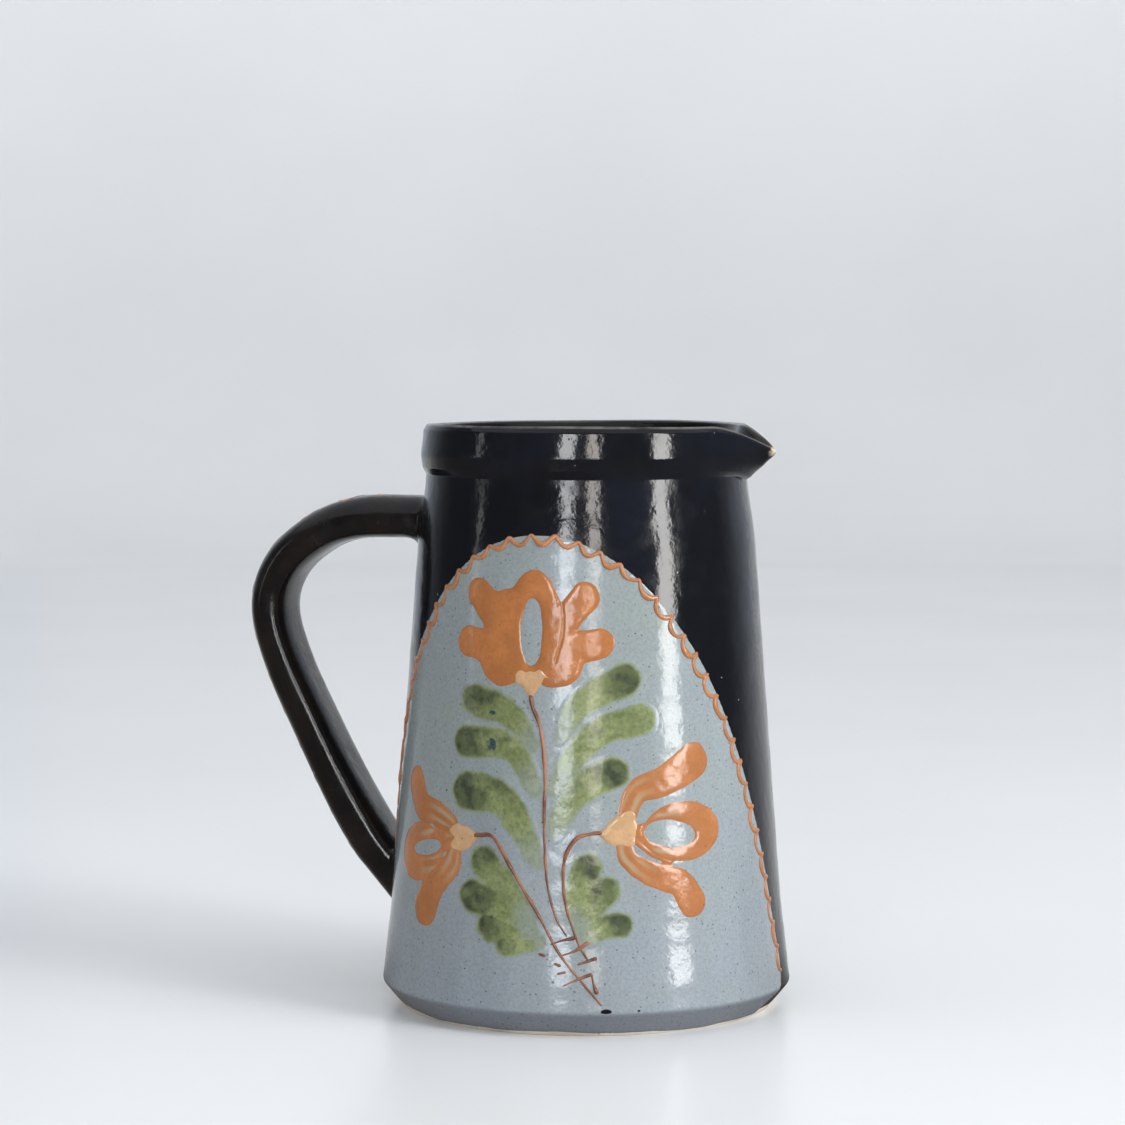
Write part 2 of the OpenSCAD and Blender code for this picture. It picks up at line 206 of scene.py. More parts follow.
WALL_ZS = np.arange(FOOT_H + 4, NECK_Z - 2.5, 1.2)
CREST = (COLLAR_R - 1.8, HEIGHT, 0)
OUTSIDE = rounded(
    [(0, RECESS, 0), (FOOT_R - 9.6, RECESS, 1.2), (FOOT_R - 7.6, 0, 0.7), (FOOT_R - 0.4, 0, 0.9),
     (BASE_R + 0.1, FOOT_H - 0.1, 2.0)]
    + [(taper(z), z, 0) for z in WALL_ZS]
    + [(taper(NECK_Z) + 0.05, NECK_Z + 0.1, 1.3), (COLLAR_R - 0.5, NECK_Z + 2.1, 1.8),
       (COLLAR_R, NECK_Z + 5.8, 5), (COLLAR_R - 0.75, HEIGHT - 1.8, 1.6), CREST]
)
INSIDE = rounded(
    [CREST, (COLLAR_R - 3.0, HEIGHT - 0.5, 1.0), (COLLAR_R - 4.4, HEIGHT - 4.5, 5)]
    + [(taper(z) - WALL_T, z, 0) for z in np.arange(NECK_Z, FOOT_H + COVE_R, -2.5)],
    step=2.5,
)
COVE = np.array([
    (INSIDE[-1, 0] - COVE_R * (1 - math.cos(a)), INSIDE[-1, 1] - COVE_R * math.sin(a)
     + (FOOT_H + COVE_R - INSIDE[-1, 1]) * a / (math.pi / 2))
    for a in np.linspace(0, math.pi / 2, 12)])
COVE[-1, 1] = FOOT_H
FLOOR = np.stack([np.linspace(COVE[-1, 0], 0, 24), np.full(24, FOOT_H)], 1)

foot_line, above = cut_at(OUTSIDE, FOOT_H)
wall_line, collar_up = cut_at(above, NECK_Z)
collar_down, inner_line = cut_at(INSIDE, NECK_Z)
inner_line = np.vstack([inner_line, COVE[1:]])
OUTER = np.vstack([foot_line[foot_line[:, 0] > FOOT_R - 0.3], wall_line[1:]])


def radius_at(z):
    """Outer radius of the finished body, bevel and rounding included."""
    return np.interp(z, OUTER[:, 1], OUTER[:, 0])


def unevenness(a, z):
    """Throwing rings and hand-made wobble, added to the radius."""
    fade = ease((z - 2) / 10)
    rings = 0.014 * np.sin(2 * math.pi * z / 6.7 + 0.7 * np.sin(a + 0.4)) + 0.03 * np.sin(
        2 * math.pi * z / 17.3 + np.sin(2 * a) + 1.3)
    wobble = 0.16 * np.sin(2 * a + 0.9) + 0.06 * np.sin(3 * a - 0.5) + 0.02 * np.sin(
        11 * a + z / 19) + 0.012 * np.sin(17 * a - z / 11)
    return fade * (rings + wobble)


def on_wall(s, z, h=0.0):
    """Point h above the outer surface at (s, z)."""
    s, z, h = np.broadcast_arrays(np.asarray(s, float), np.asarray(z, float), h)
    a = s / WRAP_R
    r = radius_at(z) + unevenness(a, z) + h
    return np.stack([r * np.sin(a), -r * np.cos(a), z], -1)


def wall_frame(s, z, d=0.25):
    """Unit tangents along s and z and the outward normal at (s, z)."""
    ts = unit(on_wall(s + d, z) - on_wall(s - d, z))
    tz = unit(on_wall(s, z + d) - on_wall(s, z - d))
    return ts, tz, unit(np.cross(ts, tz))


# How the section moves where the lip is pinched: height, outward shift, upward shift
LIP_TIP = (HEIGHT - NECK_Z, 9.4, -6.7)
LIP_OUT = [(0, 0, 0), (1.1, 0.6, -2.3), (3.3, 2.5, -2.3), (7.5, 5.5, -3.8), (12, 8.6, -5.9), LIP_TIP]
LIP_IN = [(0, 0, 0), (5, 3.6, -1.7), (11, 7.0, -5.2), (13.8, 9.2, -6.3), LIP_TIP]


def lip_shift(height, keys):
    k = curve(keys, 8)
    return np.interp(height, k[:, 0], k[:, 1]), np.interp(height, k[:, 0], k[:, 2])


def pinch(phi):
    """1 at the lip's ridge, falling to 0 at its sides; the ridge is slightly rounded."""
    soft = math.radians(1.5)
    away = np.sqrt(phi**2 + soft**2) - soft
    return np.clip(1 - away / LIP_HALF, 0, 1) ** 1.9


lip_turns = np.linspace(-LIP_HALF, LIP_HALF, 121)
collar_turns = np.linspace(LIP_HALF, 2 * math.pi - LIP_HALF, 301)[1:-1]
PHI = np.concatenate([lip_turns, collar_turns])
LIP_COLS = list(range(len(lip_turns)))
COLLAR_COLS = list(range(len(lip_turns) - 1, len(PHI))) + [0]


def rows_of(line, keys=None):
    """Points of a line of (r, z) turned round the axis, for every angle in PHI."""
    r = np.repeat(line[:, :1], len(PHI), 1)
    z = np.repeat(line[:, 1:], len(PHI), 1)
    a = PHI + math.pi / 2
    r = r + np.where(r > 1, unevenness(a, z), 0) * ease(r / 40)
    if keys is not None:
        out, up = lip_shift(line[:, 1] - NECK_Z, keys)
        p = pinch((PHI + math.pi) % (2 * math.pi) - math.pi)
        r = r + out[:, None] * p
        z = z + up[:, None] * p
        crest = ease((line[:, 1] - HEIGHT + 4) / 4)[:, None]
        z = z + crest * (0.16 * np.sin(2 * a + 2.1) + 0.08 * np.sin(5 * a))
    return np.stack([r * np.sin(a), -r * np.cos(a), z], -1)


GRID = np.concatenate([
    rows_of(foot_line), rows_of(wall_line[1:]), rows_of(collar_up[1:], LIP_OUT),
    rows_of(collar_down[1:], LIP_IN), rows_of(inner_line[1:]), rows_of(FLOOR[1:])])
foot_end = len(foot_line)
wall_end = foot_end + len(wall_line) - 1
rim_end = wall_end + len(collar_up) - 1 + len(collar_down) - 1
inner_end = rim_end + len(inner_line) - 1


def grid_normals(grid):
    """Normals of a surface whose rows run round it."""
    across = np.roll(grid, -1, 1) - np.roll(grid, 1, 1)
    return unit(np.cross(across, np.gradient(grid, axis=0)))


NORMALS = grid_normals(GRID)
NORMALS[0], NORMALS[-1] = (0, 0, -1), (0, 0, 1)


def body_piece(name, rows, cols, ring, caps, attributes=None):
    """Part of GRID as a closed solid. rows run round its section, and the stretches after the
    positions in caps are flat hidden faces. ring says that the columns close on themselves."""
    n_rows, n_cols = len(rows), len(cols)
    points = GRID[np.ix_(rows, cols)].reshape(-1, 3)
    normals = NORMALS[np.ix_(rows, cols)].reshape(-1, 3)
    axis_rows = [i for i in range(n_rows) if np.ptp(GRID[rows[i], :, 0]) < 1e-6]
    faces, flat = [], []
    spans = n_cols if ring else n_cols - 1
    closed = n_rows if not axis_rows else n_rows - 1
    for i in range(closed):
        for j in range(spans):
            quad = [(i, j), (i, (j + 1) % n_cols), ((i + 1) % n_rows, (j + 1) % n_cols),
                    ((i + 1) % n_rows, j)]
            ids = []
            for r, c in quad:
                v = r * n_cols + (0 if r in axis_rows else c)
                if v not in ids:
                    ids.append(v)
            if len(ids) > 2:
                if i in caps:
                    flat.append(len(faces))
                faces.append(ids)
    if not ring:
        flat += [len(faces), len(faces) + 1]
        faces.append([i * n_cols for i in range(n_rows)])
        faces.append([i * n_cols + n_cols - 1 for i in range(n_rows)][::-1])
    used = sorted({v for f in faces for v in f})
    new = {v: k for k, v in enumerate(used)}
    faces = [[new[v] for v in f] for f in faces]
    return mesh_object(name, points[used], faces, normals[used], flat, attributes)


# ---------- handle ----------
STRAP_W = corner("handle", 1, 1) * 2
STRAP_T = 12.5
BACK = 0.58 * STRAP_T      # from the strap's middle line out to its domed back
BELLY = 0.42 * STRAP_T     # and in to its flatter inner side
BACK_ROUND = 0.95
BELLY_ROUND = 0.62
STRAP_TOP = 141
REACH = -corner("handle", 0, 0) - BACK     # how far out the strap's middle line goes
STRAP_KEYS = [
    (-taper(STRAP_TOP) - 7, STRAP_TOP), (-70, STRAP_TOP - 0.4), (-REACH + 15, 136.5),
    (-REACH + 4, 127), (-REACH, 114), (-REACH + 4.5, 97), (-REACH + 14, 77), (-REACH + 24.3, 58),
    (-REACH + 31.4, 46.3), (-62.2, 42)]
SIDES = 64


RING = np.linspace(0, 2 * math.pi, SIDES, endpoint=False)
ACROSS, OUTWARD = np.cos(RING), np.sin(RING)


def lower_growth(t):
    """Factors on the strap's width and thickness, which grow a little towards its lower end."""
    k = ease((t - 0.6) / 0.4)
    return 1 + 0.04 * k, 1 + 0.10 * k


def strap_section(t):
    """(u across, v outward) round the strap, t of the way along it."""
    wider, thicker = lower_growth(t)
    inner = OUTWARD < 0
    u = STRAP_W / 2 * np.sign(ACROSS) * np.abs(ACROSS) ** np.where(inner, BELLY_ROUND, BACK_ROUND)
    v = np.where(inner, -BELLY * np.abs(OUTWARD) ** BELLY_ROUND, BACK * np.abs(OUTWARD) ** BACK_ROUND)
    return u * wider, v * thicker


strap_path = even(curve(STRAP_KEYS, 24), 1.0)
strap_run = run_of(strap_path)
STRAP_LENGTH = strap_run[-1]
STRAP_DIR = headings(strap_path)
STRAP_OUT = right_of(STRAP_DIR)


def pull(t):
    """Unevenness left by pulling the strap by hand: a factor on its width, and a shift outward."""
    return 1 + 0.012 * np.sin(9 * t + 1) + 0.01 * np.sin(23 * t), 0.15 * np.sin(14 * t + 2)


def strap_rows():
    rows = []
    for i, (c, o) in enumerate(zip(strap_path, STRAP_OUT)):
        t = strap_run[i] / STRAP_LENGTH
        u, v = strap_section(t)
        width, shift = pull(t)
        v = v * width + shift
        rows.append(np.stack([c[0] + o[0] * v, u * (2 - width), c[1] + o[1] * v], 1))
    return np.array(rows)


def on_strap(run, u, h):
    """Point h above the strap's back, run along its middle line and u across it."""
    run, u, h = np.broadcast_arrays(np.asarray(run, float), np.asarray(u, float), h)
    wider, thicker = lower_growth(run / STRAP_LENGTH)
    width, shift = pull(run / STRAP_LENGTH)
    c = np.clip(np.abs(u) / (STRAP_W / 2 * wider * (2 - width)), 0, 0.98) ** (1 / BACK_ROUND)
    v = BACK * (1 - c**2) ** (BACK_ROUND / 2) * thicker * width + shift + h
    x, z = (np.interp(run, strap_run, strap_path[:, i]) + v * np.interp(run, strap_run, STRAP_OUT[:, i])
            for i in (0, 1))
    return np.stack([x, u, z], -1)


def wall_radius(p):
    """The outer wall's radius at the height and on the side of each point."""
    return radius_at(p[:, 2]) + unevenness(np.arctan2(p[:, 0], -p[:, 1]), p[:, 2])


def wall_hit(points, heading):
    """Where lines from points along heading meet the outer wall at -X."""
    t = np.zeros(len(points))
    for _ in range(30):
        p = points + heading * t[:, None]
        t += (np.hypot(p[:, 0], p[:, 1]) - wall_radius(p)) / max(0.4, heading[0])
    return points + heading * t[:, None]


def to_wall(p, sink):
    """Moves points along the radius to sink below the wall's surface."""
    scale = ((wall_radius(p) - sink) / np.hypot(p[:, 0], p[:, 1]))[:, None]
    return np.concatenate([p[:, :2] * scale, p[:, 2:]], 1)


def root_rows(section, heading, spread, steps=26):
    """Rows from a strap's end section on to the wall, where they turn outward in a fillet.
    spread is the fillet's size at each point of the section."""
    hit = wall_hit(section, heading)
    middle = hit.mean(0)
    away = unit((hit - middle) * [0, 1, 1])
    reach = np.linalg.norm(hit - section, axis=1)
    cut = np.minimum(spread, reach * 0.9)
    start = hit - heading * cut[:, None]
    end = to_wall(hit + away * spread[:, None], 0.08)
    straight = steps // 3
    rows = [mix(section, start, k / straight) for k in range(1, straight)]
    rows += [(1 - t) ** 2 * start + 2 * t * (1 - t) * hit + t * t * end
             for t in np.linspace(0, 1, steps - straight + 1)]
    return np.array(rows)


body_rows = strap_rows()
under = np.maximum(-OUTWARD, 0)
upper_rows = root_rows(body_rows[0], np.array([1.0, 0, 0]), 2.8 + 4.2 * under)
low_dir = np.array([STRAP_DIR[-1, 0], 0, STRAP_DIR[-1, 1]])
lower_rows = root_rows(body_rows[-1], low_dir, 1.6 + 3.4 * under + 1.4 * np.abs(ACROSS))
HANDLE_GRID = np.concatenate([upper_rows[::-1], body_rows, lower_rows])
upper_count, strap_count = len(upper_rows), len(body_rows)


HANDLE_NORMALS = -grid_normals(HANDLE_GRID)


def tube_piece(name, first, last):
    """Rows first to last of the handle as a closed piece, with flat hidden end faces."""
    block = HANDLE_GRID[first:last + 1]
    normals = HANDLE_NORMALS[first:last + 1]
    n = SIDES
    faces = [[(i + 1) * n + j, (i + 1) * n + (j + 1) % n, i * n + (j + 1) % n, i * n + j]
             for i in range(len(block) - 1) for j in range(n)]
    ends = [list(range(n)), [(len(block) - 1) * n + j for j in range(n)][::-1]]
    flat = [len(faces), len(faces) + 1]
    return mesh_object(name, block.reshape(-1, 3), faces + ends, normals.reshape(-1, 3), flat)


# ---------- flat shapes on the wall, as signed distances ----------
def from_segments(q, a, b):
    """How far along each segment a to b the nearest place to each point is, and the way from it."""
    ab = b - a
    rel = q[:, None] - a[None]
    k = np.clip((rel * ab).sum(-1) / np.maximum((ab * ab).sum(-1), 1e-9), 0, 1)
    return k, rel - k[..., None] * ab


class Stroke:
    """A brush stroke: a curve that widens from w0 to w1. at() gives, for points (s, z), the
    distance to its edge (negative inside), how far along it they are and how far across."""

    def __init__(self, keys, w0, w1, swell=1.0):
        self.path = curve(keys, 8)
        run = run_of(self.path)
        self.t = run / run[-1]
        self.w = mix(w0, w1, self.t**swell)

    def at(self, q):
        ab = np.diff(self.path, axis=0)
        k, gap = from_segments(q, self.path[:-1], self.path[1:])
        width = mix(self.w[:-1], self.w[1:], k)
        dist = np.linalg.norm(gap, axis=-1) - width
        i = dist.argmin(1)
        row = np.arange(len(q))
        side = ab[i, 0] * gap[row, i, 1] - ab[i, 1] * gap[row, i, 0]
        side /= np.linalg.norm(ab[i], axis=1)
        along = mix(self.t[:-1][i], self.t[1:][i], k[row, i])
        return dist[row, i], along, side


class Oval:
    def __init__(self, middle, long_half, short_half, turn=0):
        self.middle, self.half = np.array(middle, float), (long_half, short_half)
        self.c, self.s = math.cos(turn), math.sin(turn)

    def at(self, q):
        d = q - self.middle
        x = d[:, 0] * self.c + d[:, 1] * self.s
        y = -d[:, 0] * self.s + d[:, 1] * self.c
        k = np.sqrt((x / self.half[0]) ** 2 + (y / self.half[1]) ** 2)
        slope = np.sqrt((x / self.half[0] ** 2) ** 2 + (y / self.half[1] ** 2) ** 2)
        dist = np.where(k > 1e-6, (k - 1) * k / np.maximum(slope, 1e-6), -min(self.half))
        return dist, 0.5 + 0.5 * x / self.half[0], y


class Outline:
    """The inside of a closed polygon."""

    def __init__(self, points):
        self.p = np.asarray(points, float)

    def at(self, q):
        a, b = self.p, np.roll(self.p, -1, 0)
        rise = np.where(b[:, 1] == a[:, 1], 1e-9, b[:, 1] - a[:, 1])
        out = []
        for part in np.array_split(q, max(1, len(q) // 3000)):
            s, z = part[:, :1], part[:, 1:]
            dist = np.linalg.norm(from_segments(part, a, b)[1], axis=-1).min(1)
            at_s = a[:, 0] + (z - a[:, 1]) / rise * (b[:, 0] - a[:, 0])
            crossed = ((a[:, 1] > z) != (b[:, 1] > z)) & (s < at_s)
            out.append(np.where(crossed.sum(1) % 2 == 1, -dist, dist))
        return np.concatenate(out), np.zeros(len(q)), q[:, 0]


def smooth_min(a, b, k):
    h = np.clip(0.5 + 0.5 * (b - a) / k, 0, 1)
    return b * (1 - h) + a * h - k * h * (1 - h)


class Shape:
    """Shapes run together, less the holes, with a hand-made wander to the edge."""

    def __init__(self, parts, holes=(), blend=1.0, wander=0.12, seed=0, creases=()):
        self.parts, self.holes, self.blend = parts, holes, blend
        self.wander, self.seed, self.creases = wander, seed, creases

    def crease(self, q):
        """How much of the height is left where one petal laps another."""
        left = np.ones(len(q))
        for part in self.creases:
            left -= 0.5 * np.exp(-((part.at(q)[0] + 0.25) / 0.5) ** 2)
        return np.maximum(left, 0.2)

    def at(self, q):
        dist, along, side = self.parts[0].at(q)
        nearest = dist.copy()
        for part in self.parts[1:]:
            d, t, u = part.at(q)
            closer = d < nearest
            nearest = np.where(closer, d, nearest)
            along, side = np.where(closer, t, along), np.where(closer, u, side)
            dist = smooth_min(dist, d, self.blend)
        for hole in self.holes:
            dist = -smooth_min(-dist, hole.at(q)[0], self.blend * 0.5)
        s, z, k = q[:, 0], q[:, 1], self.seed
        wave = np.sin(s / 1.9 + k) * np.cos(z / 2.3 - 2 * k) + 0.6 * np.sin((s - z) / 1.1 + 3 * k)
        return dist + self.wander * wave, along, side


def fill(d, S, Z):
    """Points (s, z) and faces that fill a grid where d < 0, cut between its lines where d is 0."""
    inside = d < 0
    ids = -np.ones(S.shape, int)
    ids[inside] = np.arange(inside.sum())
    points = list(zip(S[inside], Z[inside]))
    crossing = {}

    def on_edge(a, b):
        key = (min(a, b), max(a, b))
        if key not in crossing:
            a, b = key
            t = np.clip(d[a] / (d[a] - d[b]), 0.02, 0.98)
            crossing[key] = len(points)
            points.append((mix(S[a], S[b], t), mix(Z[a], Z[b], t)))
        return crossing[key]

    whole, cut = [], []
    some = inside[:-1, :-1] | inside[:-1, 1:] | inside[1:, 1:] | inside[1:, :-1]
    for i, j in zip(*np.nonzero(some)):
        ring = [(i, j), (i, j + 1), (i + 1, j + 1), (i + 1, j)]
        if all(inside[a] for a in ring):
            whole.append([ids[a] for a in ring])
            continue
        face = []
        for a, b in zip(ring, ring[1:] + ring[:1]):
            if inside[a]:
                face.append(ids[a])
            if inside[a] != inside[b]:
                face.append(on_edge(a, b))
        cut.append(face)
    return np.array(points), whole + cut


def closed_sheet(faces, count):
    """Faces for a top of count points, for a bottom with the same points, and round their rim."""
    edges = {(a, b) for f in faces for a, b in zip(f, f[1:] + f[:1])}
    rim = [(a, b) for f in faces for a, b in zip(f, f[1:] + f[:1]) if (b, a) not in edges]
    walls = [[b, a, a + count, b + count] for a, b in rim]
    return faces + [[v + count for v in f[::-1]] for f in faces], walls


def relief(name, shape, grid, height, edge, base=0.0, sink=0.05, ripple=0.0):
    """A pillow of slip over a shape, wrapped on the wall: a closed mesh whose edge starts sink
    below the level of base and rises to height above it within about edge. grid holds the s and
    the z of the mesh's lines."""
    S, Z = np.meshgrid(*grid)
    p, faces = fill(shape.at(np.stack([S.ravel(), Z.ravel()], 1))[0].reshape(S.shape), S, Z)

    def lift(q):
        s, z = q.T
        rise = 1 - np.exp(-((np.maximum(-shape.at(q)[0], 0) / edge) ** 1.25))
        swell = np.sin(s / 0.9 + 2 * np.sin(z / 2.7)) * np.cos(z / 1.1 + s / 3.1)
        swell = swell + np.sin(s / 2.6 - z / 1.9)
        return base - sink + (height + sink) * rise * shape.crease(q) * (1 + ripple * swell)

    s, z = p.T
    e = 0.08
    ds = (lift(p + [e, 0]) - lift(p - [e, 0])) / (2 * e)
    dz = (lift(p + [0, e]) - lift(p - [0, e])) / (2 * e)
    ts, tz, n = wall_frame(s, z)
    top_n = unit(n - ds[:, None] * ts - dz[:, None] * tz)
    sheet, walls = closed_sheet(faces, len(p))
    verts = np.vstack([on_wall(s, z, lift(p)), on_wall(s, z, base - sink - 0.15)])
    dist, along, side = shape.at(p)
    marks = {"edge": np.maximum(-dist, 0), "along": along, "side": side}
    return mesh_object(name, verts, sheet + walls, np.vstack([top_n, -n]),
                       range(len(sheet), len(sheet) + len(walls)),
                       {key: np.tile(values, 2) for key, values in marks.items()})


BEAD = np.linspace(0, math.pi, 9)
BEAD_ACROSS = np.concatenate([np.cos(BEAD), [-0.5, 0.5]])
BEAD_UP = np.concatenate([np.sin(BEAD), [-0.25, -0.25]])


def trail(name, paths, width, height, place_at=on_wall, tapers=(1.0, 1.0), seed=1.0, base=0.0,
          swells=None):
    """Trailed slip: half-round beads along paths on the wall, or where place_at(s, z, h) puts
    them. tapers scale a bead's size at each end. swells hold each path's own width factors."""
    sink = 0.08
    n = len(BEAD_UP)
    verts, edges, faces = [], [], []
    for line, path in enumerate(paths):
        right = right_of(headings(path))
        run = run_of(path)
        ends = np.sqrt(np.clip(np.minimum(run, run[-1] - run) / (width * 0.5), 0, 1))
        hand = 1 + 0.13 * np.sin(run / 2.3 + seed + line) + 0.09 * np.sin(run / 0.9 + 2 * seed)
        size = mix(*tapers, run / run[-1]) * hand * np.maximum(ends, 0.05)
        if swells:
            size = size * swells[line]
        m = len(path)
        first = sum(len(v) for v in verts)
        for across, up in zip(BEAD_ACROSS, BEAD_UP):
            p = path - right * (width / 2 * size * across)[:, None]
            h = -0.1 if up < 0 else (height * size + sink) * up
            verts.append(place_at(p[:, 0], p[:, 1], base - sink + h))
            edges.append(np.full(m, abs(up)))
        rows = [first + k * m for k in range(n)]
        faces += [[a + i, a + i + 1, b + i + 1, b + i]
                  for a, b in zip(rows, rows[1:] + rows[:1]) for i in range(m - 1)]
        faces += [rows, [a + m - 1 for a in rows][::-1]]
    if place_at is on_wall:
        faces = [f[::-1] for f in faces]     # (s, z) turns the other way from the strap's (run, u)
    return mesh_object(name, np.concatenate(verts), faces, attributes={"edge": np.concatenate(edges)})


def beads(keys_list):
    """Smooth paths through lists of points."""
    return [even(curve(keys, 16), 0.4) for keys in keys_list]


# ---------- materials ----------
def srgb(r, g, b):
    c = np.array([r, g, b], float) / 255
    lin = np.where(c <= 0.04045, c / 12.92, ((c + 0.055) / 1.055) ** 2.4)
    return (*map(float, lin), 1.0)


class Value:
    """An output of one of a look's nodes. Sums and products of values become Math nodes."""

    def __init__(self, look, socket):
        self.look, self.socket = look, socket

    def __add__(self, other):
        return self.look.math("ADD", self, other)

    def __sub__(self, other):
        return self.look.math("SUBTRACT", self, other)

    def __mul__(self, other):
        return self.look.math("MULTIPLY", self, other)

    def also(self, out):
        """Another output of the same node."""
        return Value(self.look, self.socket.node.outputs[out])

    def step(self, low, high, out_low=0.0, out_high=1.0):
        """A smooth step from out_low to out_high as this value goes from low to high."""
        ends = {"From Min": low, "From Max": high, "To Min": out_low, "To Max": out_high}
        return self.look.node("MapRange", {"Value": self, **ends}, interpolation_type="SMOOTHSTEP")


class Look:
    """A material being built."""

    def __init__(self, name, roughness=0.5):
        self.material = bpy.data.materials.new(name)
        self.material.use_nodes = True
        self.tree = self.material.node_tree
        self.shader = self.tree.nodes["Principled BSDF"]
        self.set("Roughness", roughness)
        self.set("IOR", 1.5)

    def put(self, socket, value):
        if isinstance(value, Value):
            self.tree.links.new(value.socket, socket)
        else:
            socket.default_value = value

    def set(self, name, value):
        self.put(self.shader.inputs[name], value)

    def node(self, kind, inputs, out=0, **settings):
        """Adds a node and gives one of its outputs."""
        n = self.tree.nodes.new("ShaderNode" + kind)
        for key, value in settings.items():
            setattr(n, key, value)
        for key, value in inputs.items():
            self.put(n.inputs[key], value)
        return Value(self, n.outputs[out])

    def math(self, op, a, b=0.0):
        return self.node("Math", {0: a, 1: b}, operation=op)

    def vector(self, op, a, b):
        return self.node("VectorMath", {0: a, "Scale" if op == "SCALE" else 1: b}, operation=op)

    def tint(self, share, a, b):
        return self.node("Mix", {0: share, 6: a, 7: b}, 2, data_type="RGBA")

    def place(self):
        return self.node("TexCoord", {}, "Object")

    def axis(self, name):
        return self.node("SeparateXYZ", {0: self.place()}, name)

    def attribute(self, name):
        return self.node("Attribute", {}, "Fac", attribute_name=name)

    def noise(self, scale, detail=2.0, vector=None, roughness=0.5):
        settings = {"Scale": scale, "Detail": detail, "Roughness": roughness}
        return self.node("TexNoise", {"Vector": vector or self.place(), **settings}, "Fac")

    def specks(self, per_metre, size, share):
        """1 inside uneven specks of up to size (a share of their spacing), in that share of cells."""
        jolt = self.noise(per_metre * 2.2, 1.0).also("Color")
        shift = self.vector("SCALE", self.vector("SUBTRACT", jolt, (0.5, 0.5, 0.5)), 0.42 / per_metre)
        at = self.vector("ADD", self.place(), shift)
        distance = self.node("TexVoronoi", {"Vector": at, "Scale": per_metre}, "Distance")
        lot = self.node("SeparateColor", {0: distance.also("Color")})
        chosen = lot.step(1 - share, 1 - share + 0.01)
        edge = chosen * lot.also(1).step(0.0, 1.0, size * 0.45, size)
        return (edge - distance).step(0.0, size * 0.4)

    def spot(self, s, z, long_mm, high_mm):
        """1 inside an oval mark on the wall at (s, z)."""
        away = self.vector("SUBTRACT", self.place(), tuple(map(float, on_wall(s, z) * MM)))
        wide, high = 1 / (long_mm * MM), 1 / (high_mm * MM)
        size = self.vector("MULTIPLY", away, (wide, wide, high))
        far = self.node("VectorMath", {0: size}, "Value", operation="LENGTH")
        return (far + self.noise(700) * 0.5).step(1.1, 0.9)

    def skin(self):
        """Height of a fired glaze's uneven surface, with pits."""
        broad, ripple = self.noise(90, 1) * 2.6, self.noise(330, 2) * 1.35
        grain, pits = self.noise(1100, 2) * 0.3, self.specks(330, 0.16, 0.3) * -0.6
        return (ripple + broad) + (grain + pits)

    def finish(self, colour, height=None, depth_mm=0.06):
        self.set("Base Color", colour)
        bumps = {"Height": height or self.skin(), "Distance": depth_mm * MM}
        self.set("Normal", self.node("Bump", bumps, "Normal"))
        return self.material


GROUND_COOL = srgb(133, 140, 149)
GROUND_WARM = srgb(136, 144, 141)
GROUND_LIGHT = srgb(150, 158, 162)
BEVEL_GREY = srgb(102, 103, 112)
SPECK = srgb(58, 54, 50)
INK = (0.0048, 0.0053, 0.0070, 1.0)
INK_BLUE = (0.0080, 0.0096, 0.0145, 1.0)
# handle tints: partly thin glaze, partly a painted reflection of a warm room
INK_BROWN_THIN_AND_PAINTED_REFLECTION = (0.0065, 0.0058, 0.0058, 1.0)
INK_RED_THIN_AND_PAINTED_REFLECTION = (0.013, 0.0095, 0.0082, 1.0)
THIN_BROWN = srgb(66, 44, 30)
CLAY = srgb(206, 188, 164)


def ground_colour(look):
    """The pale blue-grey glaze: soft clouds, faint vertical runs, a grey bevel, iron specks."""
    height = look.axis("Z")
    warm = look.noise(42, 3).step(0.3, 0.7, 0.0, 0.5) + height.step(0.010, 0.085, 0.0, 0.5)
    base = look.tint(warm, GROUND_COOL, GROUND_WARM)
    tall = look.node("Mapping", {"Vector": look.place(), "Scale": (1, 1, 0.12)})
    base = look.tint(look.noise(60, 2, tall).step(0.35, 0.75, 0.0, 0.5), base, GROUND_LIGHT)
    base = look.tint(height.step(0.0080, 0.0068, 0.0, 0.62), base, BEVEL_GREY)
    base = look.tint(look.noise(1300, 3).step(0.35, 0.68, 0.0, 0.24), base, srgb(92, 92, 90))
    base = look.tint(look.specks(740, 0.27, 0.55) * 0.55, base, SPECK)
    return look.tint(look.specks(260, 0.13, 0.22) * 0.85, base, SPECK)


def make_pale_glaze():
    look = Look("pale_glaze", 0.125)
    base = ground_colour(look)
    base = look.tint(look.spot(20, 8, 2.3, 0.85), base, INK)
    return look.finish(look.tint(look.spot(28.3, 8, 0.6, 0.4), base, SPECK))


def make_dark_glaze():
    look = Look("dark_glaze")
    base = look.tint(look.noise(36, 3).step(0.45, 0.75), INK, INK_BLUE)
    thin = look.attribute("thin") * look.noise(160, 3).step(0.3, 0.62, 0.35)
    thin_glaze = look.tint(look.noise(70, 2).step(0.4, 0.6), THIN_BROWN, srgb(122, 116, 106))
    base = look.tint(thin, base, thin_glaze)
    worn = look.attribute("worn") * look.noise(420, 3).step(0.42, 0.58)
    base = look.tint(worn, base, CLAY)
    look.set("Roughness", look.noise(120, 4).step(0.45, 0.75, 0.11, 0.23))
    # light specks: glaze pinholes, partly painted glints
    return look.finish(look.tint(look.specks(300, 0.10, 0.10) * 0.6, base, srgb(150, 148, 142)))


